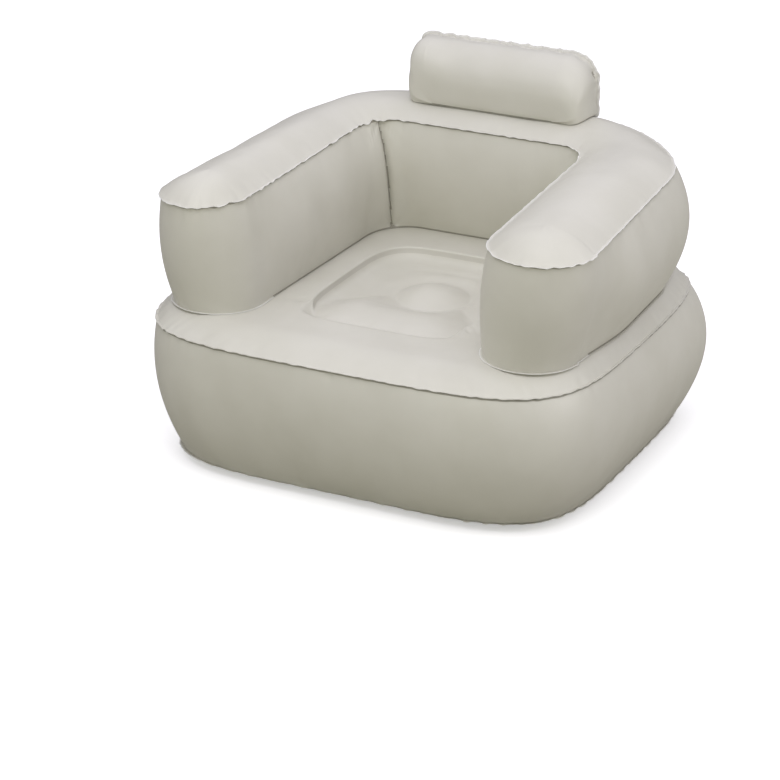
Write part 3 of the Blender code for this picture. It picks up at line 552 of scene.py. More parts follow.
class Seam:
    """The wavy line of a weld along an outline, shared by the panels on both sides of it.

    rough strengthens its waves, and droop turns its flange down.
    """

    def __init__(self, loop, seed, wobble=0.0008, rough=1, droop=0):
        self.loop = loop
        self.place, self.length = arc(loop)
        self.bend = sharpness(loop, self.length, self.place)
        lively = lerp(STRAIGHT_LIFE, 1, self.bend) * rough
        self.shift = wobble * lively * waves(self.place, self.length, seed, 0.025, 0.09)
        self.lift = wobble * lively * waves(self.place, self.length, seed + 1, 0.02, 0.07)
        self.width = WELD * (1 + 0.10 * waves(self.place, self.length, seed + 2, 0.02, 0.12))
        flutter = waves(self.place, self.length, seed + 3, 0.012, 0.05)
        self.tilt = WELD_TILT - droop + SEAM_FLUTTER * lively * flutter
        self.out = self.width * np.cos(self.tilt)
        self.up = self.width * np.sin(self.tilt)
        foot_tilt = FOOT_SEAM_TILT + SEAM_FLUTTER * waves(self.place, self.length, seed + 4, 0.02, 0.09)
        foot_width = self.width * lerp(*FOOT_SEAM_WIDTHS, self.bend)
        self.foot_out = foot_width * np.cos(foot_tilt)
        self.foot_up = foot_width * np.sin(foot_tilt)
        self.side = HALF_SEAM * math.sin(WELD_TILT)
        self.level = HALF_SEAM * math.cos(WELD_TILT)

    def puckers(self, away, pleats, calm):
        """Pleats along the weld, with the part calm of them left where it runs straight."""
        return puckers(self.place, self.length, away, *pleats, lerp(calm, 1, self.bend))

    def waves(self, ripple):
        return waves(self.place, self.length, *ripple)


def base_seam(angle):
    outline = ray_points(angle, base_reach(angle, 0), 0)[:, :2]
    return Seam(outline, BASE_SEED)


def foot_flange(angle, seam, level, parts):
    """Rows of the bottom weld's flange, on one side of the weld."""
    rows = []
    for part in parts:
        distance = base_reach(angle, foot_inset(angle) - part * seam.foot_out)
        rows.append(ray_points(angle, distance, level + part * seam.foot_up))
    return rows


def base_wall(angle, seam):
    """The side wall, from the flange of the bottom weld to the flange of the top weld."""
    rows = foot_flange(angle, seam, FOOT_Z + HALF_SEAM, EDGE_PARTS[:2])
    trim = corner_trim(angle)
    for t in WALL_SHARES:
        bulge = (BASE_BULGE + WALL_LEAN * np.cos(angle)) * math.sin(math.pi * t) ** 0.8
        inset = foot_inset(angle) * (1 - t) - bulge
        height = lerp(FOOT_Z + HALF_SEAM, SEAM_Z - seam.level, t)
        near_top = math.exp(-(1 - t) * (SEAM_Z - FOOT_Z) / SEAM_FADE)
        distance = base_reach(angle, inset - seam.side * t) + seam.shift * near_top - trim * t**3.5
        rows.append(ray_points(angle, distance, height + seam.lift * near_top))
    weld = base_reach(angle, -seam.side) + seam.shift - trim
    height = SEAM_Z - seam.level + seam.lift
    rows.append(ray_points(angle, weld, height))
    for part in EDGE_PARTS[1::-1]:
        rows.append(ray_points(angle, weld + seam.out * part, height + seam.up * part))
    grid = np.array(rows)
    body = slice(2, 3 + len(WALL_SHARES))
    share = np.append(WALL_SHARES, 1)[:, None]
    drop = (SEAM_Z - FOOT_Z) * (1 - share)
    climb = (SEAM_Z - FOOT_Z) * share
    sink = seam.puckers(drop, WALL_TOP_PLEATS, 0.25)
    sink += seam.puckers(climb, WALL_FOOT_PLEATS, 0.25)
    sink += seam.waves(WALL_RIPPLE) * np.sin(np.pi * share) ** 0.7
    patch = flat_patch(grid, BASE_VALVE, *PATCH)[body]
    grid[body] -= normals(grid)[body] * (sink * (1 - patch) * face_out(grid, 12))[..., None]
    return grid


def face_out(grid, row):
    """-1 where a grid's normals point away from the middle of its rows, else 1."""
    middle = grid[row].mean(0)
    turned = (normals(grid)[row] * (grid[row] - middle)).sum()
    return -1 if turned > 0 else 1


def deck(angle, seam):
    """The seat panel, from its weld flange to the middle of the coil."""
    rows, away = [], []
    trim = corner_trim(angle)
    weld = base_reach(angle, seam.side) + seam.shift - trim
    height = SEAM_Z + seam.level + seam.lift
    for part in EDGE_PARTS[:2]:
        rows.append(ray_points(angle, weld + seam.out * part, height + seam.up * part))
        away.append(0)
    rows.append(ray_points(angle, weld, height))
    away.append(0)
    shoulder = lerp(*SHOULDERS, rise(-np.sin(angle), *SHOULDER_FRONT))
    for share in SHOULDER_SHARES:
        near = math.exp(-share * SHOULDER_WIDTH / CREST_FADE)
        distance = base_reach(angle, shoulder * share) + seam.shift * near - trim
        level = lerp(SEAM_Z, SEAT_Z, 1 - (1 - share) ** SHOULDER_POWER)
        rows.append(ray_points(angle, distance, level + (seam.level + seam.lift) * near))
        away.append(SHOULDER_SPAN * share)
    outer = rows[-1]
    front = rise(-np.sin(angle), *LIP_FRONT)
    forward = rise(-np.sin(angle), *PAD_FORWARD)
    lip = lerp(EDGE_LIP, FRONT_LIP, front)
    inner = ray_points(angle, pad_reach(angle, lip), SEAT_Z)
    span = np.linalg.norm(inner - outer, axis=1)
    for share in np.linspace(0, 1, BORDER_ROWS + 1)[1:]:
        rows.append(lerp(outer, inner, share))
        away.append(SHOULDER_SPAN + float(np.median(span)) * share)
    for share in LIP_SHARES:
        fall = lerp(EDGE_DROP * share**2, FRONT_DROP * smooth(share), front)
        rows.append(ray_points(angle, pad_reach(angle, lip * (1 - share)), SEAT_Z - fall))
        away.append(1)
    rim = pad_reach(angle, 0)
    for share in PAD_SHARES:
        dish = EDGE_DROP + PAD_STEP * (1 - math.exp(-share / PAD_STEP_SHARE))
        dish += PAD_DISH * rounded(share, PAD_TURN, 2)
        dish -= PAD_PLUMP * bell(share - PLUMP_PLACE[0], PLUMP_PLACE[1])
        swell = FRONT_DROP - PAD_SWELL * rounded(share, SWELL_TURN, SWELL_POWER)
        fall = lerp(rise(share, *COIL_FALL_REAR), rise(share, *COIL_FALL_FRONT), forward)
        blend = lerp(front, forward, float(smooth(share / SWELL_START)))
        depth = lerp(lerp(dish, swell, blend), COIL_DEPTH, fall)
        shift = (0, COIL_BACK * float(smooth(share)))
        rows.append(ray_points(angle, lerp(rim, COIL_RADIUS, share), SEAT_Z - depth, shift))
        away.append(1)
    for share in COIL_SHARES:
        level = SEAT_Z - COIL_DEPTH + COIL_DOME * (1 - share * share) ** COIL_POWER
        rows.append(ray_points(angle, np.full_like(angle, COIL_RADIUS * share), level, (0, COIL_BACK)))
        away.append(1)
    grid = np.array(rows)
    away = np.array(away)[:, None]
    sink = seam.puckers(away, SEAT_PLEATS, 0.2)
    grid += normals(grid) * (sink * face_up(grid))[..., None]
    groove = grid[GROOVE_ROW, :, :2].copy()
    place, length = arc(groove)
    out = np.linalg.norm(grid[..., :2] - groove[None], axis=2)
    pleated = 0.3 + 0.7 * front
    border = slice(GROOVE_ROW - BORDER_PLEAT_ROWS, GROOVE_ROW)
    pad = slice(GROOVE_ROW + 1, -len(COIL_SHARES) - 1)
    grid[border, :, 2] += puckers(place, length, out[border], *BORDER_PLEATS, pleated)
    grid[pad, :, 2] += puckers(place, length, out[pad], *PAD_PLEATS, pleated)
    for side in (-1, 1):
        x, y = side * grid[..., 0], grid[..., 1]
        along = (x - FOLD_START) / FOLD_LENGTH
        line = y - lerp(*FOLD_LINE, along)
        fade = smooth(along / FOLD_FADES[0]) * smooth((1 - along) / FOLD_FADES[1])
        depth = FOLD_DEPTH * fade * bell(line, FOLD_WIDTH)
        grid[..., 2] -= depth * (grid[..., 2] > FOLD_LOWEST)
    kinds = surfaces(grid)
    # paints soft shade on the two rows just inside the pad's rim, away from the front
    kinds[GROOVE_ROW : GROOVE_ROW + 2, front < SOFT_SHADE_FRONT_LIMIT] = PAINTED_SOFT_SHADE
    return grid, kinds


def face_up(grid):
    """1 where a grid's normals point up at its shoulder, else -1."""
    return 1 if normals(grid)[6, :, 2].mean() > 0 else -1


def base_bottom(angle, seam):
    """The bottom panel, from its weld flange to where it lies on the floor."""
    rows = foot_flange(angle, seam, FOOT_Z - HALF_SEAM, EDGE_PARTS)
    for share in BOTTOM_SHARES:
        level = (FOOT_Z - HALF_SEAM) * (1 - math.sin(share * math.pi / 2))
        rows.append(ray_points(angle, base_reach(angle, foot_inset(angle) + FOOT_ROLL * share), level))
    return np.array(rows)


# Arm and back chamber


class Outline:
    """Closed plan outline of the U-shaped chamber, counter-clockwise from the middle of the back."""

    def __init__(self, outer_x, inner_x, outer_y, inner_y, front_y):
        self.arm_x = (outer_x + inner_x) / 2
        self.back_y = (outer_y + inner_y) / 2
        self.arm_half = (outer_x - inner_x) / 2
        self.back_half = (outer_y - inner_y) / 2
        self.tip_y = front_y + self.arm_half

    def spine(self):
        """Right half of the middle line: centres, outward normals and half widths."""
        straight = self.arm_x - BEND
        x = np.linspace(0, straight, BACK_COLUMNS, endpoint=False)
        centre = [np.stack([x, np.full_like(x, self.back_y)], 1)]
        normal = [np.tile((0.0, 1.0), (len(x), 1))]
        half = [np.full(len(x), self.back_half)]
        t = np.linspace(-1, 1, BEND_COLUMNS)
        share = (1 + 0.4 * t + 0.6 * t**3) / 2
        turn = np.pi / 2 * (1 - share)
        way = np.stack([np.cos(turn), np.sin(turn)], 1)
        centre.append(np.array([straight, self.back_y - BEND]) + way * BEND)
        normal.append(way)
        half.append(lerp(self.back_half, self.arm_half, smooth(share)))
        y = np.linspace(self.back_y - BEND, self.tip_y, ARM_COLUMNS)[1:]
        centre.append(np.stack([np.full_like(y, self.arm_x), y], 1))
        normal.append(np.tile((1.0, 0.0), (len(y), 1)))
        half.append(np.full(len(y), self.arm_half))
        return np.concatenate(centre), np.concatenate(normal), np.concatenate(half)

    def points(self, flange=0, swell=0):
        """The outline and the middle line under each of its points. flange may differ from point to point."""
        centre, normal, half = self.spine()
        away = smooth((centre[:, 1] - self.tip_y) / self.arm_half * 0.55)
        grown = swell * lerp(TIP_BULGE, 1, away)
        off_corner = np.arctan2(normal[:, 1], normal[:, 0]) - TRIM_TURN[0]
        trim = OUTER_TRIM * bell(off_corner, TRIM_TURN[1])
        outer = centre + normal * (half + grown * OUTER_BULGE - trim * (1 - swell))[:, None]
        inner = centre - normal * (half + grown * INNER_BULGE)[:, None]
        turn = np.pi * np.arange(1, TIP_COLUMNS) / TIP_COLUMNS
        side = lerp(OUTER_BULGE, INNER_BULGE, turn / np.pi)
        way = np.stack([np.cos(turn), -np.sin(turn)], 1)
        tip = centre[-1] + way * (self.arm_half + swell * side * TIP_BULGE)[:, None]
        right = np.concatenate([outer, tip, inner[::-1]])
        outward = np.concatenate([normal, way, -normal[::-1]])
        middle = np.concatenate([centre, np.tile(centre[-1], (len(tip), 1)), centre[::-1]])
        flip = np.array((-1.0, 1.0))
        both = [np.concatenate([part, part[-2:0:-1] * flip]) for part in (right, outward, middle)]
        loop = both[0] + both[1] * np.reshape(flange, (-1, 1))
        return splay(loop), splay(both[2])


def splay(points):
    """Wider towards the front."""
    wider = 1 - SPLAY * points[:, 1] / BASE_Y
    return np.stack([points[:, 0] * wider, points[:, 1]], 1)


TOP = Outline(0.509, 0.284, 0.466, 0.281, -0.406)
FOOT = Outline(0.466, 0.264, 0.414, 0.316, -0.380)


def seam_z(y):
    """Height of the chamber's top weld."""
    share = (y + BASE_Y) / (2 * BASE_Y)
    return SEAT_Z + lerp(FRONT_WALL, BACK_WALL, share)


def crease_columns():
    """Columns of the folds in the two inner corners."""
    count = len(TOP.spine()[0])
    right = count + (TIP_COLUMNS - 1) + (count - 1 - CREASE_COLUMN)
    return right, len(TOP.points()[0]) - right


def slim_left(grid):
    """The left arm's outer side stands further in than the right one's and, behind the tip, lower."""
    x, y, z = grid[..., 0], grid[..., 1], grid[..., 2]
    outer = rise(x, *LEFT_OUTER_X)
    along = rise(y, *LEFT_REAR_Y)
    high = smooth((z - STACK_Z) / LEFT_HEIGHT)
    moved = grid.copy()
    moved[..., 0] += LEFT_SLIM * outer * along * lerp(LEFT_LOW, 1, high)
    mid = rise(y, *LEFT_SINK_FRONT_Y) * rise(y, *LEFT_SINK_REAR_Y)
    moved[..., 2] -= LEFT_SINK * outer * mid * high
    return moved


def spread_right(grid):
    """Behind its tip, the right arm's wall leans out over the base's shoulder."""
    x, y, z = grid[..., 0], grid[..., 1], grid[..., 2]
    outer = rise(x, *RIGHT_OUTER_X) * rise(y, *RIGHT_FRONT_Y)
    rear = rise(x, *RIGHT_REAR_X) * rise(y, *RIGHT_REAR_Y)
    low = RIGHT_SPREAD * (1 - smooth((z - STACK_Z) / RIGHT_HEIGHT))
    moved = grid.copy()
    moved[..., 0] += low * outer
    moved[..., 1] += low * rear * RIGHT_REAR_SHARE
    return moved


def arm_wall(seam):
    """The chamber's wall, from the flange of its top weld to its flange on the seat."""
    rows = []
    loop, _ = TOP.points(seam.side + seam.shift)
    base_z = seam_z(loop[:, 1]) - seam.level + seam.lift
    for part in EDGE_PARTS:
        loop, _ = TOP.points(seam.side + seam.shift + seam.out * part)
        rows.append(np.column_stack([loop, base_z + seam.up * part]))
    for share in ARM_WALL_SHARES:
        swell = math.sin(math.pi * share**0.85) if share < 1 else 0
        near = math.exp(-share * ARM_HEIGHT / SEAM_FADE)
        top, _ = TOP.points((seam.side + seam.shift) * near, swell)
        foot, _ = FOOT.points(0, swell)
        point = lerp(top, foot, share)
        height = lerp(seam_z(top[:, 1]) - seam.level, STACK_Z, share) + seam.lift * near
        rows.append(np.column_stack([point, height]))
    foot_wave = seam.waves(ARM_FOOT_RIPPLE)
    base_loop, _ = FOOT.points()
    tips = rise(base_loop[:, 1], *ARM_TIP_Y)
    for part in (0.66, 1.0):
        loop, _ = FOOT.points((WELD * part + foot_wave) * lerp(ARM_FOOT_NARROW, 1, tips))
        rows.append(np.column_stack([loop, np.full(len(loop), STACK_Z)]))
    grid = np.array(rows)
    shares = np.concatenate([[0, 0, 0], ARM_WALL_SHARES, [1, 1]])
    body = slice(2, len(rows) - 2)
    drop = ARM_PLEAT_HEIGHT * shares[body][:, None]
    climb = ARM_PLEAT_HEIGHT * (1 - shares[body])[:, None]
    sink = seam.puckers(drop, ARM_TOP_PLEATS, 0.3)
    sink += seam.puckers(climb, ARM_FOOT_PLEATS, 0.3)
    sink += seam.waves(ARM_RIPPLE) * np.sin(np.pi * shares[body])[:, None] ** 0.7
    patch = flat_patch(grid, BACK_VALVE, *PATCH)[body]
    out = -face_out(grid[:, : len(grid[0]) // 4], 14)
    grid[body] += normals(grid)[body] * (sink * (1 - patch) * out)[..., None]
    kinds = surfaces(grid, (0, len(grid) - 2))
    # paints shade on the wall's rows just under the top weld
    kinds[2:5] = PAINTED_DARK_SHADE
    # paints a contact shadow along the foot, away from the tips
    kinds[-4:, tips < 0.3] = PAINTED_DARK_SHADE
    for column in crease_columns():
        add_crease(grid, kinds, column, shares)
    return spread_right(slim_left(grid)), kinds


def add_crease(grid, kinds, column, shares):
    """The fold of an inner corner, with small pleats where it meets the welds."""
    count = grid.shape[1]
    for row, share in enumerate(shares):
        if not 0 < share < 1:
            continue
        ring = grid[row]
        window = np.arange(column - CREASE_REACH, column + CREASE_REACH + 1) % count
        part = ring[window]
        side = math.copysign(1, part[CREASE_REACH, 0])
        steps = np.linalg.norm(np.diff(part[:, :2], axis=0), axis=1)
        place = np.concatenate([[0], np.cumsum(steps)])
        place = (place - place[CREASE_REACH]) * side
        place -= lerp(*CREASE_OFFSETS, share)
        ends = math.sin(math.pi * share) ** 0.4
        if 0.02 < share < 0.99:
            # paints a thin line of shade down the crease
            kinds[row, window[np.abs(place) < CREASE_SHADE_HALF_WIDTH]] = PAINTED_DARK_SHADE
        deep = CREASE_CUT[0] * np.exp(-np.abs(place) / CREASE_CUT[1])
        deep += CREASE_HOLLOW[0] * bell(place, CREASE_HOLLOW[1])
        deep *= ends
        drop = ARM_HEIGHT * share
        climb = ARM_HEIGHT * (1 - share)
        for lean, long, strength in CREASE_PLEATS:
            fork = bell(place - lean * drop, CREASE_FORK_WIDTH) * bell(drop, long)
            foot = bell(place + lean * climb, CREASE_FOOT_WIDTH) * bell(climb, CREASE_FOOT_LENGTH * long)
            deep += strength * (fork + foot)
        along = np.gradient(part[:, :2], axis=0)
        way = np.stack([-along[:, 1], along[:, 0]], 1)
        way /= np.linalg.norm(way, axis=1, keepdims=True)
        if way[CREASE_REACH] @ np.array([side, 1.0]) < 0:
            way = -way
        grid[row, window, :2] += way * deep[:, None]


def arm_top(seam):
    """The chamber's top panel, from its weld flange to its middle line."""
    rows = []
    base, _ = TOP.points(-seam.side + seam.shift)
    base_z = seam_z(base[:, 1]) + seam.level + seam.lift
    for part in EDGE_PARTS:
        loop, _ = TOP.points(-seam.side + seam.shift + seam.out * part)
        rows.append(np.column_stack([loop, base_z + seam.up * part]))
    centres = TOP.points()[1]
    tip_share = smooth((TOP.back_y - centres[:, 1]) / (TOP.back_y - TOP.tip_y) * 1.6)
    crown = lerp(BACK_CROWN, ARM_CROWN, tip_share)
    for share in ARM_CREST_SHARES:
        near = math.exp(-share * ARM_CREST_SPAN / CREST_FADE)
        edge, _ = TOP.points((seam.shift - seam.side) * near)
        point = lerp(edge, centres, share)
        height = seam_z(point[:, 1]) + crown * (1 - (1 - share) ** CROWN_POWER)
        height += (seam.level + seam.lift) * near
        rows.append(np.column_stack([point, height]))
    grid = np.array(rows)
    away = np.linalg.norm(grid[2][None] - grid, axis=2)
    away[:3] = 0
    sink = seam.puckers(away, CREST_PLEATS, 0.25)
    shape = np.concatenate([[0, 0, 0], np.sin(np.pi * np.array(ARM_CREST_SHARES)) ** 0.8])[:, None]
    grid[..., 2] += sink + np.minimum(seam.waves(CREST_RIPPLE) * shape, CREST_RIPPLE_LIMIT)
    return slim_left(grid)


def arm_foot():
    """Outline of the foot panel, the sheet that lies on the seat."""
    loop, _ = FOOT.points(WELD)
    return np.column_stack([loop, np.full(len(loop), SEAT_Z + GAP)])


# Headrest


def back_z(y):
    """Top of the back's crown where it runs straight."""
    share = np.clip(1 - np.abs(y - TOP.back_y) / TOP.back_half, 0, 1)
    return seam_z(y) + BACK_CROWN * (1 - (1 - share) ** CROWN_POWER)


REST_Y = TOP.back_y + REST_BACKWARD
REST_LOW = float(back_z(TOP.back_y)) + REST_RAISED


def rest_ear(x, z):
    """The weld's upper left corner, which stands out from the swollen front."""
    return rise(x, *REST_EAR_X) * rise(z, *REST_EAR_Z)


def rest_outline():
    """Points of the weld, evenly spaced: place, outward direction and how far each side is drawn in."""
    half = REST_HEIGHT / 2
    path, way = [], []
    for quarter in range(4):
        corner = REST_CORNERS[quarter] if quarter in (0, 1) else REST_FOOT_CORNER
        side = 1 if quarter in (0, 3) else -1
        level = 1 if quarter in (0, 1) else -1
        turn = np.pi / 2 * (quarter + np.linspace(0, 1, REST_CORNER_POINTS))
        direction = np.stack([np.cos(turn), np.sin(turn)], 1)
        middle = np.array([side * (REST_X - corner), level * (half - corner)])
        path.append(middle + direction * corner)
        way.append(direction)
    path, way = np.concatenate(path), np.concatenate(way)
    place, length = arc(path)
    even = np.linspace(0, length, REST_COLUMNS, endpoint=False)
    closed = np.append(place, length)

    def sample(values):
        return np.interp(even, closed, np.append(values, values[0]))

    place_x, place_z = sample(path[:, 0]), sample(path[:, 1])
    place_x -= REST_EAR * rest_ear(place_x, place_z)
    way_x, way_z = sample(way[:, 0]), sample(way[:, 1])
    size = np.hypot(way_x, way_z)
    corner = np.where(place_z > 0, np.where(place_x > 0, *REST_CORNERS), REST_FOOT_CORNER)
    core = np.clip(place_x / (REST_X - corner), -1, 1) * (REST_X - REST_END)
    return place_x, place_z, way_x / size, way_z / size, core, even, length


def spline(points, count):
    """A smooth curve through the points."""
    points = np.array(points, float)
    around = np.vstack([2 * points[0] - points[1], points, 2 * points[-1] - points[-2]])
    found = []
    for i in range(len(points) - 1):
        a, b, c, d = around[i : i + 4]
        for t in np.linspace(0, 1, count, endpoint=False):
            square = (2 * a - 5 * b + 4 * c - d) * t * t
            cube = (3 * b - a - 3 * c + d) * t**3
            found.append(0.5 * (2 * b + (c - a) * t + square + cube))
    found.append(points[-1])
    return np.array(found)


def settle(y, z):
    """How far the headrest's lower edge, z below its middle, sinks to lie on the back's crown."""
    low = smooth((-z - REST_HEIGHT / 2 + 0.055) / 0.045)
    return low * (back_z(y) + REST_LIFT - REST_LOW)


def rest_waves(place, length):
    """The weld's waves in its own plane and at right angles to it."""
    return waves(place, length, *REST_RIPPLE), waves(place, length, *DEPTH_RIPPLE)


def rest_front():
    """The swollen front panel, from its weld flange to where it lies on the back, and its surfaces."""
    x, z, out_x, out_z, core, place, length = rest_outline()
    middle = REST_LOW + REST_HEIGHT / 2
    wave, depth_wave = rest_waves(place, length)
    rows = []
    weld_z = middle + z + settle(REST_Y, z)
    for part in REST_EDGE_PARTS:
        grown = WELD * part + wave
        rows.append(np.stack([x + out_x * grown, REST_Y - HALF_SEAM + depth_wave, weld_z + out_z * grown], 1))
    left = 1 + REST_LEFT_POWER * rise(x, *REST_LEFT_X)
    profile = spline(FRONT_PROFILE, PROFILE_STEPS)[1:]
    for share, inward, lowered in profile:
        swell = REST_SWELL * math.sin(math.pi / 2 * min(1, share * REST_SWELL_TURN))
        swell *= 1 - REST_SWELL_LOSS * share
        near = math.exp(-share * REST_DEPTH / REST_FADE)
        px = lerp(x + out_x * (swell + wave * near), core, inward)
        px += REST_EAR_PULL * REST_EAR * rest_ear(x, z) * smooth(share / REST_EAR_SHARE) * (1 - inward)
        forward = share * lerp(1, REST_LOW_DEPTH, rise(z, *REST_LOW_Z))
        py = REST_Y - HALF_SEAM - REST_DEPTH * forward + depth_wave * near
        bottom = -REST_HEIGHT / 2 * REST_LOW_EDGE
        pz = lerp(z + out_z * (swell + wave * near), bottom, max(0, lowered) ** left)
        pz += middle + settle(py, pz)
        rows.append(np.stack([px, py, pz], 1))
    grid = np.array(rows)
    away = np.concatenate([[0, 0, 0], REST_DEPTH * profile[:, 0]])[:, None]
    upper = rise(z, *REST_UPPER_Z)
    sink = puckers(place, length, away, *REST_PLEATS) * upper
    ends = rise(np.abs(x), *REST_END_X)
    sink += puckers(place, length, away, *REST_END_PLEATS) * upper * ends
    right = rise(x, *REST_RIGHT_X) * rise(z, *REST_RIGHT_Z)
    sink += puckers(place, length, away, *REST_RIGHT_PLEATS) * right
    way = normals(grid)
    sign = 1 if (way[8, :, 2] * np.sign(z)).sum() > 0 else -1
    grid += way * (sink * sign)[..., None]
    floor = back_z(grid[..., 1]) + REST_LIFT
    grid[..., 2] = np.maximum(grid[..., 2], floor)
    kinds = surfaces(grid, (0, 1))
    # paints shade into the deepest puckers at the right end
    kinds[(sink < -REST_SHADE_DEPTH) & (right > 0.5)] = PAINTED_DARK_SHADE
    return grid, kinds


def rest_back():
    """The back panel, from its weld flange to its middle line."""
    x, z, out_x, out_z, core, place, length = rest_outline()
    middle = REST_LOW + REST_HEIGHT / 2
    wave, depth_wave = rest_waves(place, length)
    rows = []
    low = settle(REST_Y, z)
    for part in REST_EDGE_PARTS:
        grown = WELD * part + wave
        height = middle + low + z + out_z * grown
        rows.append(np.stack([x + out_x * grown, REST_Y + HALF_SEAM + depth_wave, height], 1))
    for inward in REST_BACK_SHARES:
        near = math.exp(-inward * REST_BACK_SPAN / REST_FADE)
        bulge = REST_BULGE * rounded(inward, REST_BULGE_TURN, CROWN_POWER)
        px = lerp(x + out_x * wave * near, core, inward)
        pz = middle + lerp(z + low + out_z * wave * near, 0, inward)
        rows.append(np.stack([px, REST_Y + HALF_SEAM + bulge + depth_wave * near, pz], 1))
    grid = np.array(rows)
    away = np.concatenate([[0, 0, 0], REST_PLEAT_SPAN * REST_BACK_SHARES])[:, None]
    grid[..., 1] += puckers(place, length, away, *REST_BACK_PLEATS)
    flat_patch(grid, REST_VALVE, *REST_PATCH)
    return grid


# Materials


def node_tree(name):
    made = bpy.data.materials.new(name)
    made.use_nodes = True
    tree = made.node_tree
    return made, tree, tree.nodes["Principled BSDF"]


def noise(tree, coords, scale, detail, roughness=0.5):
    made = tree.nodes.new("ShaderNodeTexNoise")
    made.inputs["Scale"].default_value = scale
    made.inputs["Detail"].default_value = detail
    made.inputs["Roughness"].default_value = roughness
    tree.links.new(coords, made.inputs["Vector"])
    return made.outputs["Fac"]


def ramp(tree, source, low, high, low_at=0.35, high_at=0.65):
    made = tree.nodes.new("ShaderNodeMapRange")
    made.inputs["From Min"].default_value = low_at
    made.inputs["From Max"].default_value = high_at
    made.inputs["To Min"].default_value = low
    made.inputs["To Max"].default_value = high
    tree.links.new(source, made.inputs["Value"])
    return made.outputs["Result"]


def blend_colours(tree, source, first, second):
    made = tree.nodes.new("ShaderNodeMix")
    made.data_type = "RGBA"
    made.inputs["A"].default_value = (*first, 1)
    made.inputs["B"].default_value = (*second, 1)
    tree.links.new(source, made.inputs["Factor"])
    return made.outputs["Result"]


def soft_plastic(name, light, dark, roughness, grain):
    """Vinyl or moulded plastic: faint mottling, uneven gloss and a fine grain."""
    made, tree, shader = node_tree(name)
    coords = tree.nodes.new("ShaderNodeTexCoord").outputs["Object"]
    mottle = ramp(tree, noise(tree, coords, 9, 3), 0, 1)
    tree.links.new(blend_colours(tree, mottle, light, dark), shader.inputs["Base Color"])
    gloss = ramp(tree, noise(tree, coords, 26, 4, 0.6), roughness - 0.04, roughness + 0.05)
    tree.links.new(gloss, shader.inputs["Roughness"])
    bump = tree.nodes.new("ShaderNodeBump")
    bump.inputs["Strength"].default_value = grain
    bump.inputs["Distance"].default_value = 0.0002
    tree.links.new(noise(tree, coords, GRAIN_SCALE, 2), bump.inputs["Height"])
    tree.links.new(bump.outputs["Normal"], shader.inputs["Normal"])
    return made


PVC = soft_plastic("pvc_vinyl", (0.645, 0.632, 0.565), (0.618, 0.605, 0.535), 0.42, 0.25)
# near-white paint on the flanges' cut edges: a painted highlight where light catches them
PVC_HIGHLIGHT_PAINT = soft_plastic("pvc_painted_edge_highlight", (0.84, 0.835, 0.80), (0.78, 0.775, 0.74), 0.30, 0.15)
# dark paint under the welds, down the inner creases, along the arms' foot and in deep puckers: painted shade
PVC_DARK_SHADE_PAINT = soft_plastic("pvc_painted_dark_shade", (0.36, 0.345, 0.29), (0.33, 0.315, 0.265), 0.5, 0.15)
# a lighter dark just inside the pad's rim: painted soft shade
PVC_SOFT_SHADE_PAINT = soft_plastic("pvc_painted_soft_shade", (0.565, 0.55, 0.49), (0.54, 0.525, 0.465), 0.5, 0.15)
VALVE = soft_plastic("valve_vinyl", (0.78, 0.78, 0.75), (0.74, 0.74, 0.71), 0.32, 0.10)
RUBBER = soft_plastic("flap_vinyl", (0.70, 0.70, 0.67), (0.66, 0.66, 0.63), 0.5, 0.2)


# Pieces


def place_piece(piece, node):
    """Gives a sheet its materials, its body and the CAD node it stands in for."""
    for material in (PVC, PVC_HIGHLIGHT_PAINT, PVC_DARK_SHADE_PAINT, PVC_SOFT_SHADE_PAINT):
        piece.data.materials.append(material)
    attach(piece, "chair")
    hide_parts(node)


def build_base():
    angle = rays(BASE_COLUMNS)
    seam = base_seam(angle)
    wall = base_wall(angle, seam)
    last = len(wall) - 2
    kinds = surfaces(wall, (0, last))
    # paints shade on the wall's rows just under the top weld and on the flange's inner band
    kinds[last - 4 : last] = PAINTED_DARK_SHADE
    piece = sheet("base_wall_sheet", wall, kinds, (1, 0, 0), hole=(BASE_VALVE, VALVE_HOLE))
    place_piece(piece, "base_side_wall")
    grid, kinds = deck(angle, seam)
    place_piece(sheet("seat_sheet", grid, kinds, (0, 0, 1), filled=True), "seat_top_panel")
    grid = base_bottom(angle, seam)
    kinds = surfaces(grid, (0,))
    piece = sheet("base_bottom_sheet", grid, kinds, (0, 0, -1), filled=True)
    place_piece(piece, "base_bottom_panel")


def build_arms():
    loop, _ = TOP.points()
    inner = rise(np.abs(loop[:, 0]), *ARM_INNER_X) * rise(loop[:, 1], *ARM_INNER_Y)
    left_outside = rise(loop[:, 0], *ARM_DROOP_X)
    rough = 1 + ARM_INNER_LIFE * inner * (loop[:, 0] < 0)
    seam = Seam(loop, ARM_SEED, ARM_WOBBLE, rough, ARM_DROOP * left_outside)
    wall, kinds = arm_wall(seam)
    piece = sheet("arm_back_wall_sheet", wall, kinds, (1, 0, 0), hole=(BACK_VALVE, VALVE_HOLE))
    place_piece(piece, "arm_back_wall")
    grid = arm_top(seam)
    place_piece(sheet("arm_back_top_sheet", grid, surfaces(grid, (0,)), (0, 0, 1)), "arm_back_top_panel")
    foot = spread_right(slim_left(arm_foot()[None]))[0]
    piece = make_mesh("arm_back_foot_sheet", foot, [list(range(len(foot)))])
    thicken(piece, 1)
    place_piece(piece, "arm_back_foot_panel")


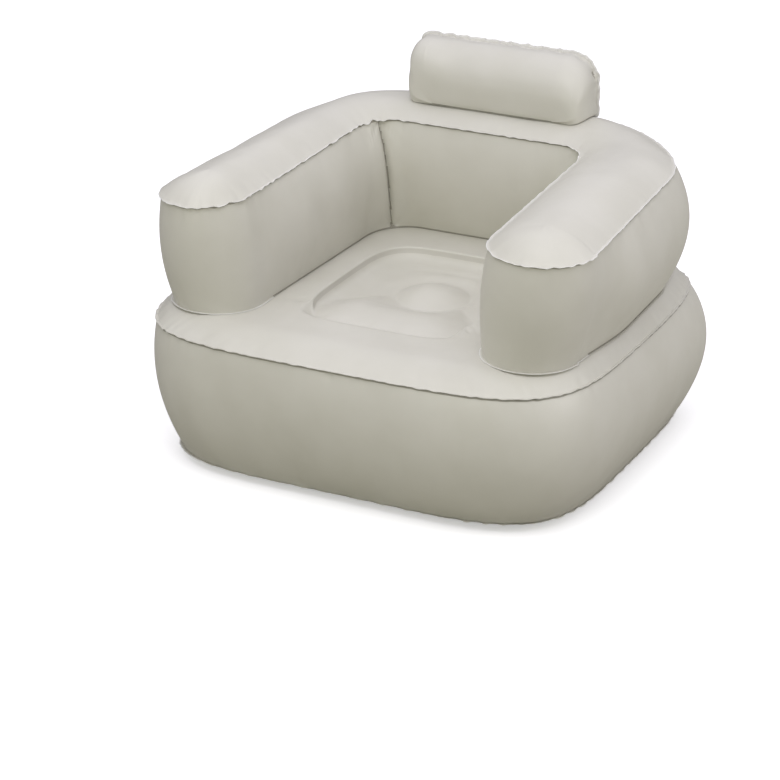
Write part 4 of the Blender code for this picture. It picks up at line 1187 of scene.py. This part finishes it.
def build_headrest():
    grid, kinds = rest_front()
    place_piece(sheet("headrest_front_sheet", grid, kinds, (0, -1, 0), filled=True), "headrest_front_panel")
    grid = rest_back()
    kinds = surfaces(grid, (0, 1))
    hole = (REST_VALVE, REST_VALVE_HOLE)
    piece = sheet("headrest_back_sheet", grid, kinds, (0, 1, 0), filled=True, hole=hole)
    place_piece(piece, "headrest_back_panel")


def dress_cad():
    """Plain materials for the pieces that stay as the CAD has them."""
    for name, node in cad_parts.items():
        kind = RUBBER if name.endswith("flap") else VALVE if "valve" in name else PVC
        node.data.materials.clear()
        node.data.materials.append(kind)


# Floor, light and camera


def build_floor():
    corners = np.array([(-1, -1, 0), (1, -1, 0), (1, 1, 0), (-1, 1, 0)]) * FLOOR_SIDE
    floor = make_mesh("floor", corners, [(0, 1, 2, 3)])
    made, tree, shader = node_tree("floor_paper")
    shader.inputs["Roughness"].default_value = 0.9
    shader.inputs["Specular IOR Level"].default_value = 0
    shader.inputs["Emission Color"].default_value = (1, 1, 1, 1)
    path = tree.nodes.new("ShaderNodeLightPath")
    glow = tree.nodes.new("ShaderNodeMath")
    glow.operation = "MULTIPLY"
    glow.inputs[1].default_value = FLOOR_GLOW
    tree.links.new(path.outputs["Is Camera Ray"], glow.inputs[0])
    tree.links.new(glow.outputs[0], shader.inputs["Emission Strength"])
    seen = blend_colours(tree, path.outputs["Is Camera Ray"], FLOOR_BOUNCE, FLOOR_SEEN)
    tree.links.new(seen, shader.inputs["Base Color"])
    floor.data.materials.append(made)


def build_world():
    world = bpy.data.worlds.new("studio")
    world.use_nodes = True
    bpy.context.scene.world = world
    tree = world.node_tree
    coords = tree.nodes.new("ShaderNodeTexCoord").outputs["Generated"]
    parts = tree.nodes.new("ShaderNodeSeparateXYZ")
    tree.links.new(coords, parts.inputs[0])
    height = ramp(tree, parts.outputs["Z"], 0, 1, 0.1, 0.9)
    sky = blend_colours(tree, height, SKY_LOW, SKY_HIGH)
    path = tree.nodes.new("ShaderNodeLightPath")
    seen = tree.nodes.new("ShaderNodeMix")
    seen.data_type = "RGBA"
    seen.inputs["B"].default_value = (1, 1, 1, 1)
    tree.links.new(sky, seen.inputs["A"])
    tree.links.new(path.outputs["Is Camera Ray"], seen.inputs["Factor"])
    tree.links.new(seen.outputs["Result"], tree.nodes["Background"].inputs["Color"])


def lamp(name, place, size, power, colour):
    """A round soft lamp that points at the chair."""
    data = bpy.data.lights.new(name, "AREA")
    data.shape = "DISK"
    data.size = size
    data.energy = power
    data.color = colour
    made = make_object(name, data)
    made.location = place
    made.rotation_euler = (Vector(LIT_POINT) - Vector(place)).to_track_quat("-Z", "Y").to_euler()


def build_camera():
    """A camera at the photograph's place, which looks at the photograph's middle."""
    level = math.cos(ELEVATION)
    forward = Vector((-math.sin(AZIMUTH) * level, math.cos(AZIMUTH) * level, -math.sin(ELEVATION)))
    right = Vector((math.cos(AZIMUTH), math.sin(AZIMUTH), 0))
    up = right.cross(forward)
    aim = forward - right * (AIM_PIXEL[0] / FOCAL_PIXELS) + up * (AIM_PIXEL[1] / FOCAL_PIXELS)
    data = bpy.data.cameras.new("camera")
    data.sensor_width = SENSOR_WIDTH
    data.sensor_fit = "HORIZONTAL"
    data.lens = FOCAL_PIXELS * data.sensor_width / PHOTO_WIDTH
    data.clip_end = CLIP_END
    camera = make_object("camera", data)
    turned = aim.to_track_quat("-Z", "Y").to_matrix().to_4x4()
    camera.matrix_world = Matrix.Translation(CAMERA_PLACE) @ turned
    bpy.context.scene.camera = camera


build_base()
build_arms()
build_headrest()
dress_cad()
build_floor()
build_world()
build_camera()
lamp("overhead_softbox", (0.3, -1.6, 3.4), 2.0, 23, (1.0, 0.99, 0.95))
lamp("side_softbox", (3.4, 0.3, 1.3), 2.2, 27.5, (1.0, 0.985, 0.965))
lamp("front_softbox", (0.0, -4.0, 1.5), 2.4, 25, (0.98, 1.0, 0.80))
bpy.context.scene.view_settings.view_transform = "Standard"
